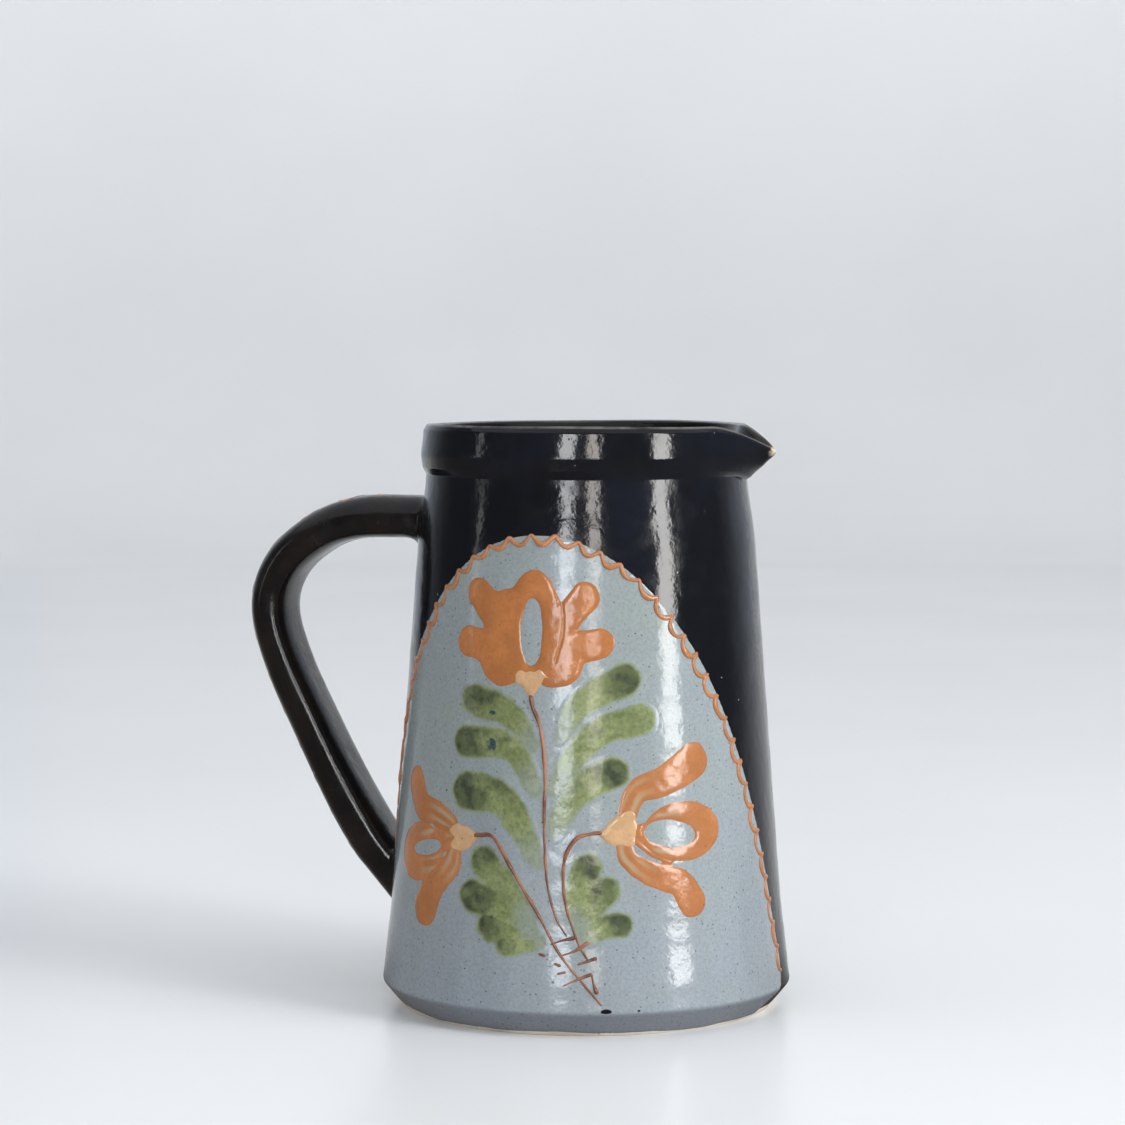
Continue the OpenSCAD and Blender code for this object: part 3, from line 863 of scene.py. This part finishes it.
def make_handle_glaze():
    """The same dark glaze with a softer gloss, browner all over: partly thinner glaze, partly a painted
    reflection of a warm room.
    """
    look = Look("handle_glaze")
    # brown to red-brown over the whole handle: partly thin glaze, partly a painted warm reflection
    base = look.tint(look.noise(70, 4).step(0.4, 0.72), INK_BROWN_THIN_AND_PAINTED_REFLECTION, INK_RED_THIN_AND_PAINTED_REFLECTION)
    # light specks: glaze pinholes, partly painted glints
    base = look.tint(look.specks(300, 0.10, 0.08) * 0.5, base, srgb(140, 134, 126))
    look.set("Roughness", look.noise(140, 4).step(0.4, 0.75, 0.14, 0.30))
    return look.finish(base, depth_mm=0.07)


def make_bare_clay():
    look = Look("bare_clay", 0.85)
    base = look.tint(look.noise(60, 4).step(0.3, 0.7), srgb(184, 172, 156), srgb(208, 199, 184))
    base = look.tint(look.specks(700, 0.2, 0.35), base, srgb(122, 106, 88))
    return look.finish(base, look.noise(900, 3) + look.noise(190, 2) * 0.6, 0.12)


def make_slip(name, body, rim, brushed=0):
    """Glossy trailed or brushed slip. brushed is how much of the ground shows through it near
    the bloom's foot, between the streaks of the brush."""
    look = Look(name, 0.15)
    edge = look.attribute("edge")
    lighter = (*(min(1.0, c * 1.3) for c in body[:3]), 1.0)
    base = look.tint(look.noise(110, 4, roughness=0.6).step(0.35, 0.72), body, lighter)
    base = look.tint(look.noise(1100, 3).step(0.4, 0.7, 0.0, 0.3), base, rim)
    if brushed:
        line = look.attribute("side") * 1.9 + look.noise(60, 3) * 8.0
        hairs = (look.math("SINE", line) + look.noise(170, 3)).step(-0.3, 1.5)
        near = look.attribute("along").step(0.60, 0.15)
        thinly = hairs * near * (edge.step(0.7, 1.7) * brushed)
        base = look.tint(thinly, base, srgb(158, 152, 124))
    base = look.tint(edge.step(0.8, 0.15, 0.0, 0.4), base, rim)
    return look.finish(look.tint(look.specks(560, 0.16, 0.16) * 0.6, base, srgb(96, 52, 28)))


def make_brown():
    """Thin red-brown slip, darker where it is thick."""
    look = Look("brown_slip", 0.16)
    base = look.tint(look.noise(140, 3).step(0.35, 0.65), srgb(96, 60, 44), srgb(146, 98, 72))
    sides = look.attribute("edge").step(0.7, 0.2, 0.0, 0.5)
    return look.finish(look.tint(sides, base, srgb(150, 112, 88)))


def leaf_fleck(look):
    """Two broken blue drops on the upper left leaves."""
    drops = look.math("MAXIMUM", look.spot(-13, 81, 2.1, 2.6), look.spot(-13, 90, 1.4, 0.8))
    return drops * look.noise(520, 3).step(0.4, 0.56)


def make_green():
    """Brushed copper green that is thin at its edges and its foot, and pools darkly at its tips."""
    look = Look("green_glaze", 0.15)
    edge, along, side = (look.attribute(name) for name in ("edge", "along", "side"))
    cloud = look.noise(150, 4, roughness=0.6).step(0.35, 0.68)
    body = look.tint(cloud, srgb(107, 116, 68), srgb(132, 141, 92))
    hairs = look.math("SINE", side * 3.2 + look.noise(60, 2) * 7.0).step(0.0, 1.2, 0.0, 0.2)
    body = look.tint(hairs, body, srgb(138, 146, 112))
    pool = (along * 0.55 + look.noise(95, 4, roughness=0.62)).step(0.76, 1.08) * edge.step(1.5, 3.0)
    pale_tip = look.math("SUBTRACT", 1.0, look.spot(28, 88.5, 9, 6))
    pool = pool * look.math("MAXIMUM", pale_tip, 0.25)
    dark = look.tint(look.noise(330, 3).step(0.4, 0.6), srgb(34, 40, 30), srgb(72, 80, 50))
    body = look.tint(pool * 0.9, body, dark)
    body = look.tint(look.noise(850, 3).step(0.42, 0.68, 0.0, 0.4), body, srgb(66, 76, 44))
    cover = (edge + (look.noise(210, 3) - 0.5) * 1.6).step(0.9, 2.4) * along.step(0.0, 0.4, 0.5)
    base = look.tint(cover * 0.94, ground_colour(look), body)
    return look.finish(look.tint(leaf_fleck(look) * 0.85, base, srgb(26, 52, 74)))


def make_floor():
    look = Look("floor", 0.26)
    look.set("Specular IOR Level", 0.3)
    grey = look.tint(look.noise(3, 3).step(0.3, 0.7), srgb(236, 236, 236), srgb(240, 240, 241))
    look.set("Base Color", grey)
    look.set("Emission Color", (0.93, 0.96, 1.0, 1.0))
    look.set("Emission Strength", look.axis("Z").step(0.1, 0.9, 0.0, 0.14))
    return look.material


def make_curtain_light(name, front, behind):
    """Dark before the pitcher, and as bright as the room beyond about 115 degrees to its sides.
    It lights only the side that it faces."""
    look = Look(name)
    look.tree.nodes.remove(look.shader)
    x = look.axis("X")
    turn = look.math("ARCTAN2", x, x.also("Y") * -1)
    right = turn.step(math.radians(114), math.radians(162))
    left = turn.step(math.radians(-92), math.radians(-144))
    share = look.math("MAXIMUM", left, right)
    light = look.node("Emission", {"Color": look.tint(share, front, behind)})
    back = look.node("NewGeometry", {}, "Backfacing")
    both = look.node("MixShader", {0: back, 1: light, 2: look.node("BsdfTransparent", {})})
    look.put(look.tree.nodes["Material Output"].inputs["Surface"], both)
    return look.material


pale_glaze = make_pale_glaze()
dark_glaze = make_dark_glaze()
handle_glaze = make_handle_glaze()
bare_clay = make_bare_clay()
orange_full = make_slip("orange_slip", srgb(156, 99, 57), srgb(140, 84, 48))
orange_brushed = make_slip("orange_slip_brushed", srgb(156, 102, 64), srgb(142, 88, 52), 0.62)
border_slip = make_slip("border_slip", srgb(156, 106, 72), srgb(128, 80, 52))
cream_slip = make_slip("cream_slip", srgb(176, 142, 106), srgb(166, 122, 88))
brown_slip = make_brown()
green_glaze = make_green()

# ---------- body pieces ----------
crest_row = wall_end - 1 + len(collar_up) - 1
profile_run = run_of(np.vstack(
    [foot_line, wall_line[1:], collar_up[1:], collar_down[1:], inner_line[1:], FLOOR[1:]]))
ALL_COLS = list(range(len(PHI)))


def glaze_marks(rows, cols):
    """Per point: how thin the glaze is at the rim's crest, and how worn the lip's tip is."""
    from_crest = np.abs(profile_run - profile_run[crest_row])[rows]
    a = PHI[cols]
    line = 0.5 + 0.15 * np.sin(7 * a + 1) + 0.12 * np.sin(17 * a)
    thin = np.clip(1.2 - np.abs(from_crest[:, None]) / line[None], 0, 1)
    tip = GRID[crest_row, len(lip_turns) // 2]
    p = GRID[np.ix_(rows, cols)]
    worn = np.clip(1.5 - np.linalg.norm(p - tip, axis=-1) / 2.2, 0, 1)
    return {"thin": thin.ravel(), "worn": worn.ravel()}


def make_body():
    foot_rows = list(range(foot_end)) + list(range(inner_end - 1, len(GRID)))
    foot = body_piece("foot_shell", foot_rows, ALL_COLS, True, [foot_end - 1])
    place(foot, bare_clay, "bare_clay", "turned_foot")
    wall_rows = list(range(foot_end - 1, wall_end)) + list(range(rim_end - 1, inner_end))
    wall = body_piece("wall_shell", wall_rows, ALL_COLS, True, [wall_end - foot_end, len(wall_rows) - 1])
    place(wall, dark_glaze, "dark_glaze", "body_wall")
    rim_rows = list(range(wall_end - 1, rim_end))
    for name, cols, node in (("collar_shell", COLLAR_COLS, "rim_collar"),
                             ("lip_shell", LIP_COLS, "pouring_lip")):
        piece = body_piece(name, rim_rows, cols, False, [len(rim_rows) - 1], glaze_marks(rim_rows, cols))
        place(piece, dark_glaze, "dark_glaze", node)


def make_handle():
    cuts = [0, upper_count + 2, upper_count + strap_count - 3, len(HANDLE_GRID) - 1]
    names = [("upper_root", "handle_upper_joint"), ("strap", "handle"), ("lower_root", "handle_lower_joint")]
    for (name, node), first, last in zip(names, cuts, cuts[1:]):
        place(tube_piece(name, first, last), handle_glaze, "dark_glaze", node)


def make_strap_trail():
    run = np.arange(6, STRAP_LENGTH - 4, 0.35)
    u = 4.2 * np.cos(2 * math.pi * run / 11.3 + 0.4 * np.sin(run / 17))
    ob = trail("strap_trail", [np.stack([run, u], 1)], 1.6, 0.14, on_strap, seed=2.2)
    place(ob, border_slip, "orange_slip", "handle_trail")


# ---------- the pale panel and its border ----------
PANEL_T = 0.15


def arch(a):
    """Middle line of the border at parameter a, from 0 on the right to pi on the left."""
    return np.stack([ARCH_HALF * np.cos(a), ARCH_TOP * np.sin(a) ** (2 / ARCH_POWER)], -1)


def arch_line():
    path = even(arch(np.linspace(0.0, math.pi, 1200)), 0.3)
    return path, right_of(headings(path))


def root_oval():
    """Where the strap's own section meets the wall low down, as an oval on the wall."""
    hit = wall_hit(body_rows[-1], low_dir)
    s = np.arctan2(hit[:, 0], -hit[:, 1]) % (2 * math.pi) * WRAP_R
    s = s - 2 * math.pi * WRAP_R
    middle = ((s.max() + s.min()) / 2, (hit[:, 2].max() + hit[:, 2].min()) / 2)
    return Oval(middle, np.ptp(s) / 2 + 0.5, np.ptp(hit[:, 2]) / 2 + 0.5)


def panel_outline():
    path, out = arch_line()
    edge = path + out * 1.0
    edge = edge[edge[:, 1] > 1.9]
    z = edge[:, 1]
    round_in = 13 * np.clip((16 - z) / 16, 0, 1) ** 2.6
    edge = np.stack([edge[:, 0] - np.sign(edge[:, 0]) * round_in, z], 1)
    s = np.linspace(edge[-1, 0], edge[0, 0], 120)[1:-1]
    low = 0.75 + 0.3 * np.sin(s / 13 + 1) + 0.15 * np.sin(s / 4.1) + 0.9 * ease((-s - 15) / 45)
    return np.vstack([edge, np.stack([s, low], 1)])


def make_panel():
    shape = Shape([Outline(panel_outline())], [root_oval()], 0.5, 0.05, 3)
    gs = np.arange(-86, 86, 1.0)
    gz = np.concatenate([np.arange(0.15, 12, 0.35), np.arange(12, 142, 1.0)])
    ob = relief("panel_skin", shape, (gs, gz), PANEL_T, 0.25)
    place(ob, pale_glaze, "pale_glaze", "pale_panel")


def make_foot_glaze():
    """The dark glaze that runs down over the bevel outside the panel."""
    s = np.arange(62, 2 * math.pi * WRAP_R - 61, 1.0)
    low = 1.9 + 0.3 * np.sin(s / 7.3) + 0.15 * np.sin(s / 2.9)
    high = np.full(len(s), FOOT_H + 0.9)
    outline = np.vstack([np.stack([s, low], 1), np.stack([s, high], 1)[::-1]])
    gs = np.arange(s[0] - 1, s[-1] + 2, 1.0)
    gz = np.arange(1.2, FOOT_H + 1.6, 0.35)
    ob = relief("foot_glaze", Shape([Outline(outline)], [], 0.5, 0.05, 4), (gs, gz), 0.07, 0.3)
    place(ob, dark_glaze, "dark_glaze", "turned_foot")


WAVE = 7.1                   # length of the border's waves
BORDER_LOW = 12              # it starts this far up
ROOT_LOW, ROOT_HIGH = 25, 40     # and stops here, where the handle's root covers it


def border_paths():
    """The wavy trail. Its crests touch the panel's edge, and its waves lean on the flanks."""
    path, out = arch_line()
    top = int(np.argmin(np.abs(path[:, 0] + 2) + 1000 * (path[:, 1] < ARCH_TOP - 10)))
    run = run_of(path)
    waves = (run - run[top]) / WAVE
    waves += 0.05 * np.sin(run / 19) + 0.035 * np.sin(run / 6.1)
    flank = 1 - ease((path[:, 1] / ARCH_TOP - 0.75) / 0.25)
    dip = np.abs(np.sin(math.pi * waves)) ** (1.75 - 0.45 * flank)
    swing = 1.1 + 0.4 * flank + 0.16 * np.sin(run / 8.7 + 1) + 0.14 * np.sin(run / 3.9)
    lean = (0.25 + 0.75 * flank) * np.sin(2 * math.pi * waves)
    tangent = np.stack([out[:, 1], -out[:, 0]], 1)
    line = path + out * (0.95 - 2 * swing * dip)[:, None] + tangent * lean[:, None]
    width = 0.85 + 0.3 * dip + 0.12 * np.sin(run / 2.9)
    at_root = (path[:, 0] < 0) & (path[:, 1] > ROOT_LOW) & (path[:, 1] < ROOT_HIGH)
    shown = (path[:, 1] > BORDER_LOW) & ~at_root
    cuts = np.nonzero(np.diff(shown))[0] + 1
    runs = [run for run in np.split(np.arange(len(path)), cuts) if shown[run[0]]]
    return [line[run] for run in runs], [width[run] for run in runs]


def make_border():
    pieces, widths = border_paths()
    ob = trail("border_trail", pieces, 1.4, 0.5, swells=widths, base=PANEL_T * 0.6, seed=0.6)
    place(ob, border_slip, "orange_slip", "scalloped_border")


# ---------- the flower spray ----------
def turned(points, at, way):
    """Points given as (along, across) from a bloom's foot, placed on the wall."""
    a = math.radians(way)
    p = np.asarray(points, float)
    return np.stack([at[0] + p[..., 0] * math.cos(a) - p[..., 1] * math.sin(a),
                     at[1] + p[..., 0] * math.sin(a) + p[..., 1] * math.cos(a)], -1)


class Bloom:
    def __init__(self, at, way):
        self.at, self.way = at, way

    def petal(self, keys, w0, w1, swell=0.8):
        return Stroke(turned(keys, self.at, self.way), w0, w1, swell)

    def oval(self, middle, long_half, short_half, tilt=0):
        return Oval(turned(middle, self.at, self.way), long_half, short_half, math.radians(self.way + tilt))


def around(parts, margin=2.5, cell=0.3):
    """Mesh lines that cover strokes and ovals."""
    points = []
    for part in parts:
        stroke = isinstance(part, Stroke)
        middle, reach = (part.path, part.w.max()) if stroke else (part.middle[None], max(part.half))
        points += [middle - reach, middle + reach]
    p = np.vstack(points)
    low, high = p.min(0) - margin, p.max(0) + margin
    return np.arange(low[0], high[0], cell), np.arange(low[1], high[1], cell)


PETAL_H = 0.26


def bloom_piece(name, parts, eye, slip, node, seed, creases):
    shape = Shape(parts, [eye], 1.6, 0.12, seed, creases)
    ob = relief(name, shape, around(parts), PETAL_H, 0.75, PANEL_T, 0.06, 0.05)
    place(ob, slip, "orange_slip", node)


def calyx_piece(name, bloom, cup, lobes, node, seed):
    parts = [bloom.petal([[-0.8, 0], [3.4, 0.2]], 0.9, cup, 1.0)] + lobes
    shape = Shape(parts, [], 0.9, 0.1, seed)
    ob = relief(name, shape, around(parts), PETAL_H + 0.1, 0.7, PANEL_T, 0.06, 0.05)
    place(ob, cream_slip, "cream_slip", node)


def make_crown():
    bloom = Bloom((-1, 96), 90)
    petal, oval = bloom.petal, bloom.oval
    parts = [
        oval([19, 0], 15.5, 9), oval([9, 9], 7.5, 8), oval([21, 8], 8, 6.5), oval([9, -8], 7.4, 7.2),
        petal([[8, 6], [12, 12], [13.5, 21.5]], 5, 4.6), petal([[12, 6], [21, 12], [27.3, 18.5]], 6.5, 4.5),
        petal([[7, -6], [12, -12], [14, -20]], 5.4, 4.4),
        petal([[14, -6], [21, -10.5], [26.8, -15.6]], 3.6, 4.5)]
    fold = petal([[34, -3], [28, -8], [18, -9.2], [9, -7]], 0.1, 0.1)
    bloom_piece("crown_petals", parts, oval([17, 0.3], 9.2, 3.1), orange_full, "crown_bloom", 1, [fold])
    lobes = [oval([4.6, 3.4], 2.5, 2.3), oval([4.9, -2.4], 2.5, 2.2),
             petal([[5, -3.5], [3.7, -7], [4, -11], [6.3, -13.6]], 1.2, 0.7)]
    calyx_piece("crown_cup", bloom, 3.4, lobes, "crown_calyx", 2)


def make_left_bloom():
    bloom = Bloom((-18, 55), 188)
    petal, oval = bloom.petal, bloom.oval
    heart = oval([22.7, 3.4], 11.5, 8.8, 7)
    parts = [
        heart, petal([[6.5, 0], [14, 0.8]], 1.5, 4),
        petal([[7.5, -4.1], [14, -7.6], [20.8, -9.4], [24.5, -16.1]], 2.6, 5.0),
        petal([[6.5, 3.1], [8.7, 7.9], [15.9, 12.9], [20.4, 19.4]], 2.1, 5.4, 0.6)]
    fold = petal([[7, -1.6], [14, -2.8], [21, -4.6], [29, -3.5]], 0.1, 0.1)
    eye = oval([19, 2.4], 6.5, 2, 4)
    bloom_piece("left_petals", parts, eye, orange_brushed, "left_bloom", 3, [fold, heart])
    lobes = [oval([5.8, 2], 2.8, 2.3), oval([6, -2], 2.6, 2.3)]
    calyx_piece("left_cup", bloom, 3.7, lobes, "left_calyx", 4)


def make_right_bloom():
    bloom = Bloom((20, 57), 0)
    petal, oval = bloom.petal, bloom.oval
    heart = oval([22.6, 0], 12.5, 8.7)
    parts = [
        heart, petal([[6, 1], [12, 0.5]], 1, 2.4), petal([[7, 0], [11, -4.4], [18, -7.4]], 0.7, 1.4),
        petal([[5.5, 3], [9, 11.4], [18, 14.7], [26.4, 19.4]], 2.4, 5.4),
        petal([[5, -1], [6.5, -7], [13, -11.5], [21, -14.5], [24.5, -20]], 1.8, 4.5, 0.6)]
    eye = oval([18.6, -0.4], 7.5, 3.6, -8)
    bloom_piece("right_petals", parts, eye, orange_brushed, "right_bloom", 5, [heart])
    lobes = [oval([5, 1.4], 4.4, 4.2), oval([6.4, 5], 2.5, 2.2), oval([6.2, -2], 2.6, 2.2)]
    calyx_piece("right_cup", bloom, 3.8, lobes, "right_calyx", 6)


STEMS = [
    ("main_line", "main_stem",
     [[-1.2, 95.6], [-0.4, 92], [2, 86], [3.5, 74], [3.5, 60], [4.5, 44], [7, 34], [10, 28.6]]),
    ("left_line", "left_stem",
     [[-17.6, 55.2], [-15.3, 55.6], [-11, 55], [-5, 46], [2, 35], [8, 24], [14, 16], [19, 9.6]]),
    ("right_line", "right_stem",
     [[19.4, 57.4], [16.5, 57.2], [12, 55.5], [9, 49], [9.5, 38], [12.5, 28], [15.5, 22]])]
TIES = [
    [[5.6, 26.3], [8.5, 27.5], [12.2, 28.4]], [[8.6, 23.4], [12, 24.7], [15.8, 27.3]],
    [[2.4, 23.8], [3.4, 23.5], [4.6, 23.2]], [[12.6, 21], [15.3, 21.9], [17.8, 22.9]],
    [[6.6, 21.2], [7.6, 20.9], [8.6, 20.5]], [[7.4, 18.3], [8.6, 18.6], [10, 19]],
    [[9, 15], [12.5, 16.8], [16.6, 18.5]], [[16.4, 18.6], [16.9, 15.6], [17.8, 12.8]]]


def make_stems():
    for i, (name, node, keys) in enumerate(STEMS):
        ob = trail(name, beads([keys]), 1.1, 0.42, tapers=(1.15, 0.5), base=PANEL_T, seed=i * 1.7)
        place(ob, brown_slip, "brown_slip", node)
    ob = trail("tie_lines", beads(TIES), 0.75, 0.36, tapers=(0.6, 1.4), base=PANEL_T, seed=4.1)
    place(ob, brown_slip, "brown_slip", "stem_tie")


LEAF_GROUPS = [
    ("leaves_upper_left", "upper_left_leaves",
     [([[-0.3, 81], [-5, 87.5], [-11, 91.5], [-19.5, 93.3]], 1.8, 4.6),
      ([[0.5, 69], [-4, 77.5], [-10, 81.5], [-22, 81.3]], 2.0, 4.5),
      ([[1.8, 48], [-3.5, 59], [-10, 66.5], [-20.5, 67.6]], 1.5, 5.6)]),
    ("leaves_upper_right", "upper_right_leaves",
     [([[8, 84], [12, 91.5], [18, 96], [26.3, 99.8]], 1.6, 4.6),
      ([[6.2, 69], [12, 79], [20, 86], [30.5, 88.6]], 2.0, 4.2),
      ([[6, 57], [9.5, 64], [15, 70.8], [22.5, 74]], 1.8, 4.4)]),
    ("leaves_lower_left", "lower_left_leaves",
     [([[-1.5, 33], [-8, 42], [-14, 48.3]], 3.4, 4.4), ([[-1, 30], [-10, 36.5], [-17, 38.3]], 3.6, 4.7),
      ([[0, 28.5], [-6, 30], [-11, 30.3]], 3.0, 4.2), ([[3, 27], [-1, 26.8], [-6, 25.6]], 1.8, 3.3)]),
    ("leaves_lower_right", "lower_right_leaves",
     [([[12.4, 33], [13.2, 41], [15, 47.6]], 2.4, 4.1), ([[13.8, 32], [17, 38], [20, 41.5]], 2.8, 4.1),
      ([[15, 28.5], [19, 31.2], [23.8, 31.8]], 2.2, 3.5)])]
LEAF_SOFT = 1.8      # how far a leaf's thin edge runs past its green


def make_leaves():
    for i, (name, node, leaves) in enumerate(LEAF_GROUPS):
        parts = [Stroke(keys, foot + LEAF_SOFT, tip + LEAF_SOFT, 0.6) for keys, foot, tip in leaves]
        shape = Shape(parts, [], 0.8, 0.2, 7 + i)
        ob = relief(name, shape, around(parts, cell=0.4), 0.07, 1.2, PANEL_T, 0.03)
        place(ob, green_glaze, "green_glaze", node)


# ---------- stage ----------
def ring(radius, z, turns):
    return [(radius * math.sin(a), -radius * math.cos(a), z) for a in turns]


def make_floor_bowl():
    """Floor that turns up into a backdrop all round, well outside the camera's circle."""
    flat, bend, n = 2000, 900, 128
    rings = [(r, 0) for r in (40, 60, 90, 140, 220, 400, 800, 1400, flat)]
    rings += [(flat + bend * math.sin(a), bend - bend * math.cos(a))
              for a in np.linspace(0.1, math.pi / 2, 16)]
    rings += [(flat + bend, 1500), (flat + bend, 2100)]
    turns = np.linspace(math.pi / 2, 2.5 * math.pi, n, endpoint=False)
    verts = [(0, 0, 0)] + [p for r, z in rings for p in ring(r, z, turns)]
    faces = [[0, 1 + k, 1 + (k + 1) % n] for k in range(n)]
    faces += [[a + k, a + n + k, a + n + (k + 1) % n, a + (k + 1) % n]
              for a in range(1, 1 + n * (len(rings) - 1), n) for k in range(n)]
    floor = mesh_object("floor", verts, faces)
    floor.data.materials.append(make_floor())


def gloss_only(ob, material):
    ob.data.materials.append(material)
    ob.visible_camera = False
    ob.visible_diffuse = False
    ob.visible_shadow = False
    ob.visible_transmission = False


def make_curtain():
    """A curtain round the pitcher and a cloth under it that only its gloss sees."""
    n, far = 96, 1950
    turns = np.radians(np.linspace(-150, 160, n))
    faces = [[n + k, n + k + 1, k + 1, k] for k in range(n - 1)]
    curtain = mesh_object("dark_curtain", ring(far, -10, turns) + ring(far, 1500, turns), faces)
    gloss_only(curtain, make_curtain_light("curtain", (0.055, 0.057, 0.064, 1), (0.6, 0.66, 0.74, 1)))
    turns = np.linspace(0, 2 * math.pi, n, endpoint=False)
    faces = [[k, n + k, n + (k + 1) % n, (k + 1) % n] for k in range(n)]
    cloth = mesh_object("dark_cloth", ring(50, 0.3, turns) + ring(far, 0.3, turns), faces)
    gloss_only(cloth, make_curtain_light("cloth", (0.105, 0.095, 0.085, 1), (0.70, 0.72, 0.74, 1)))


def softbox(name, azimuth, distance, width, low, high, radiance, colour=(1, 1, 1), glossy=True):
    """A flat lamp that faces the pitcher. Azimuth is in degrees from the front towards the lip."""
    lamp = bpy.data.lights.new(name, "AREA")
    lamp.shape = "RECTANGLE"
    lamp.size = width
    lamp.size_y = high - low
    lamp.color = colour
    lamp.energy = radiance * math.pi * width * (high - low)
    ob = show(name, lamp)
    a = math.radians(azimuth)
    ob.location = (distance * math.sin(a), -distance * math.cos(a), (low + high) / 2)
    ob.rotation_euler = (math.radians(90), 0, a)
    ob.visible_camera = False
    ob.visible_glossy = glossy


def ceiling(name, size, height, radiance):
    lamp = bpy.data.lights.new(name, "AREA")
    lamp.shape = "DISK"
    lamp.size = size
    lamp.energy = radiance * math.pi * math.pi * size * size / 4
    ob = show(name, lamp)
    ob.location = (0.3, -0.2, height)
    ob.visible_camera = False


def make_world():
    world = bpy.data.worlds.new("studio")
    world.use_nodes = True
    back = world.node_tree.nodes["Background"]
    back.inputs["Color"].default_value = (0.82, 0.85, 0.89, 1)
    back.inputs["Strength"].default_value = 0.59
    bpy.context.scene.world = world


def make_camera():
    cam = bpy.data.cameras.new("camera")
    cam.lens = 106.7
    cam.sensor_width = 36
    cam.clip_start = 0.05
    ob = show("camera", cam)
    turn, distance, height = math.radians(16), 0.976, 0.1915
    ob.location = (distance * math.sin(turn), -distance * math.cos(turn), height)
    ob.rotation_euler = (math.radians(90 - 3.65), 0, math.radians(16.417))
    bpy.context.scene.camera = ob


make_body()
make_handle()
make_strap_trail()
make_foot_glaze()
make_panel()
make_border()
make_leaves()
make_stems()
make_crown()
make_left_bloom()
make_right_bloom()
make_floor_bowl()
make_curtain()
make_world()
softbox("window_right", 70, 1.8, 0.36, 0.02, 1.2, 12.0, (1.0, 0.99, 0.97))
softbox("window_near", 20, 1.7, 0.22, 0.05, 0.24, 6.0, (1.0, 0.92, 0.84))
softbox("window_near_top", 20, 1.7, 0.20, 0.27, 0.62, 9.0, (1.0, 0.95, 0.90))
softbox("window_middle", 1.5, 1.7, 0.30, 0.05, 0.24, 10.5, (0.88, 0.94, 1.0))
softbox("window_middle_top", 2.5, 1.7, 0.26, 0.27, 0.62, 11.0, (0.96, 0.98, 1.0))
softbox("window_left", -63, 1.8, 0.10, 0.1, 1.0, 2.0)
softbox("fill_right", 76, 1.8, 1.2, 0.3, 1.8, 5.0, (0.88, 0.95, 1.0), glossy=False)
ceiling("ceiling", 1.2, 2.2, 1.2)
make_camera()
bpy.context.scene.view_settings.view_transform = "Standard"
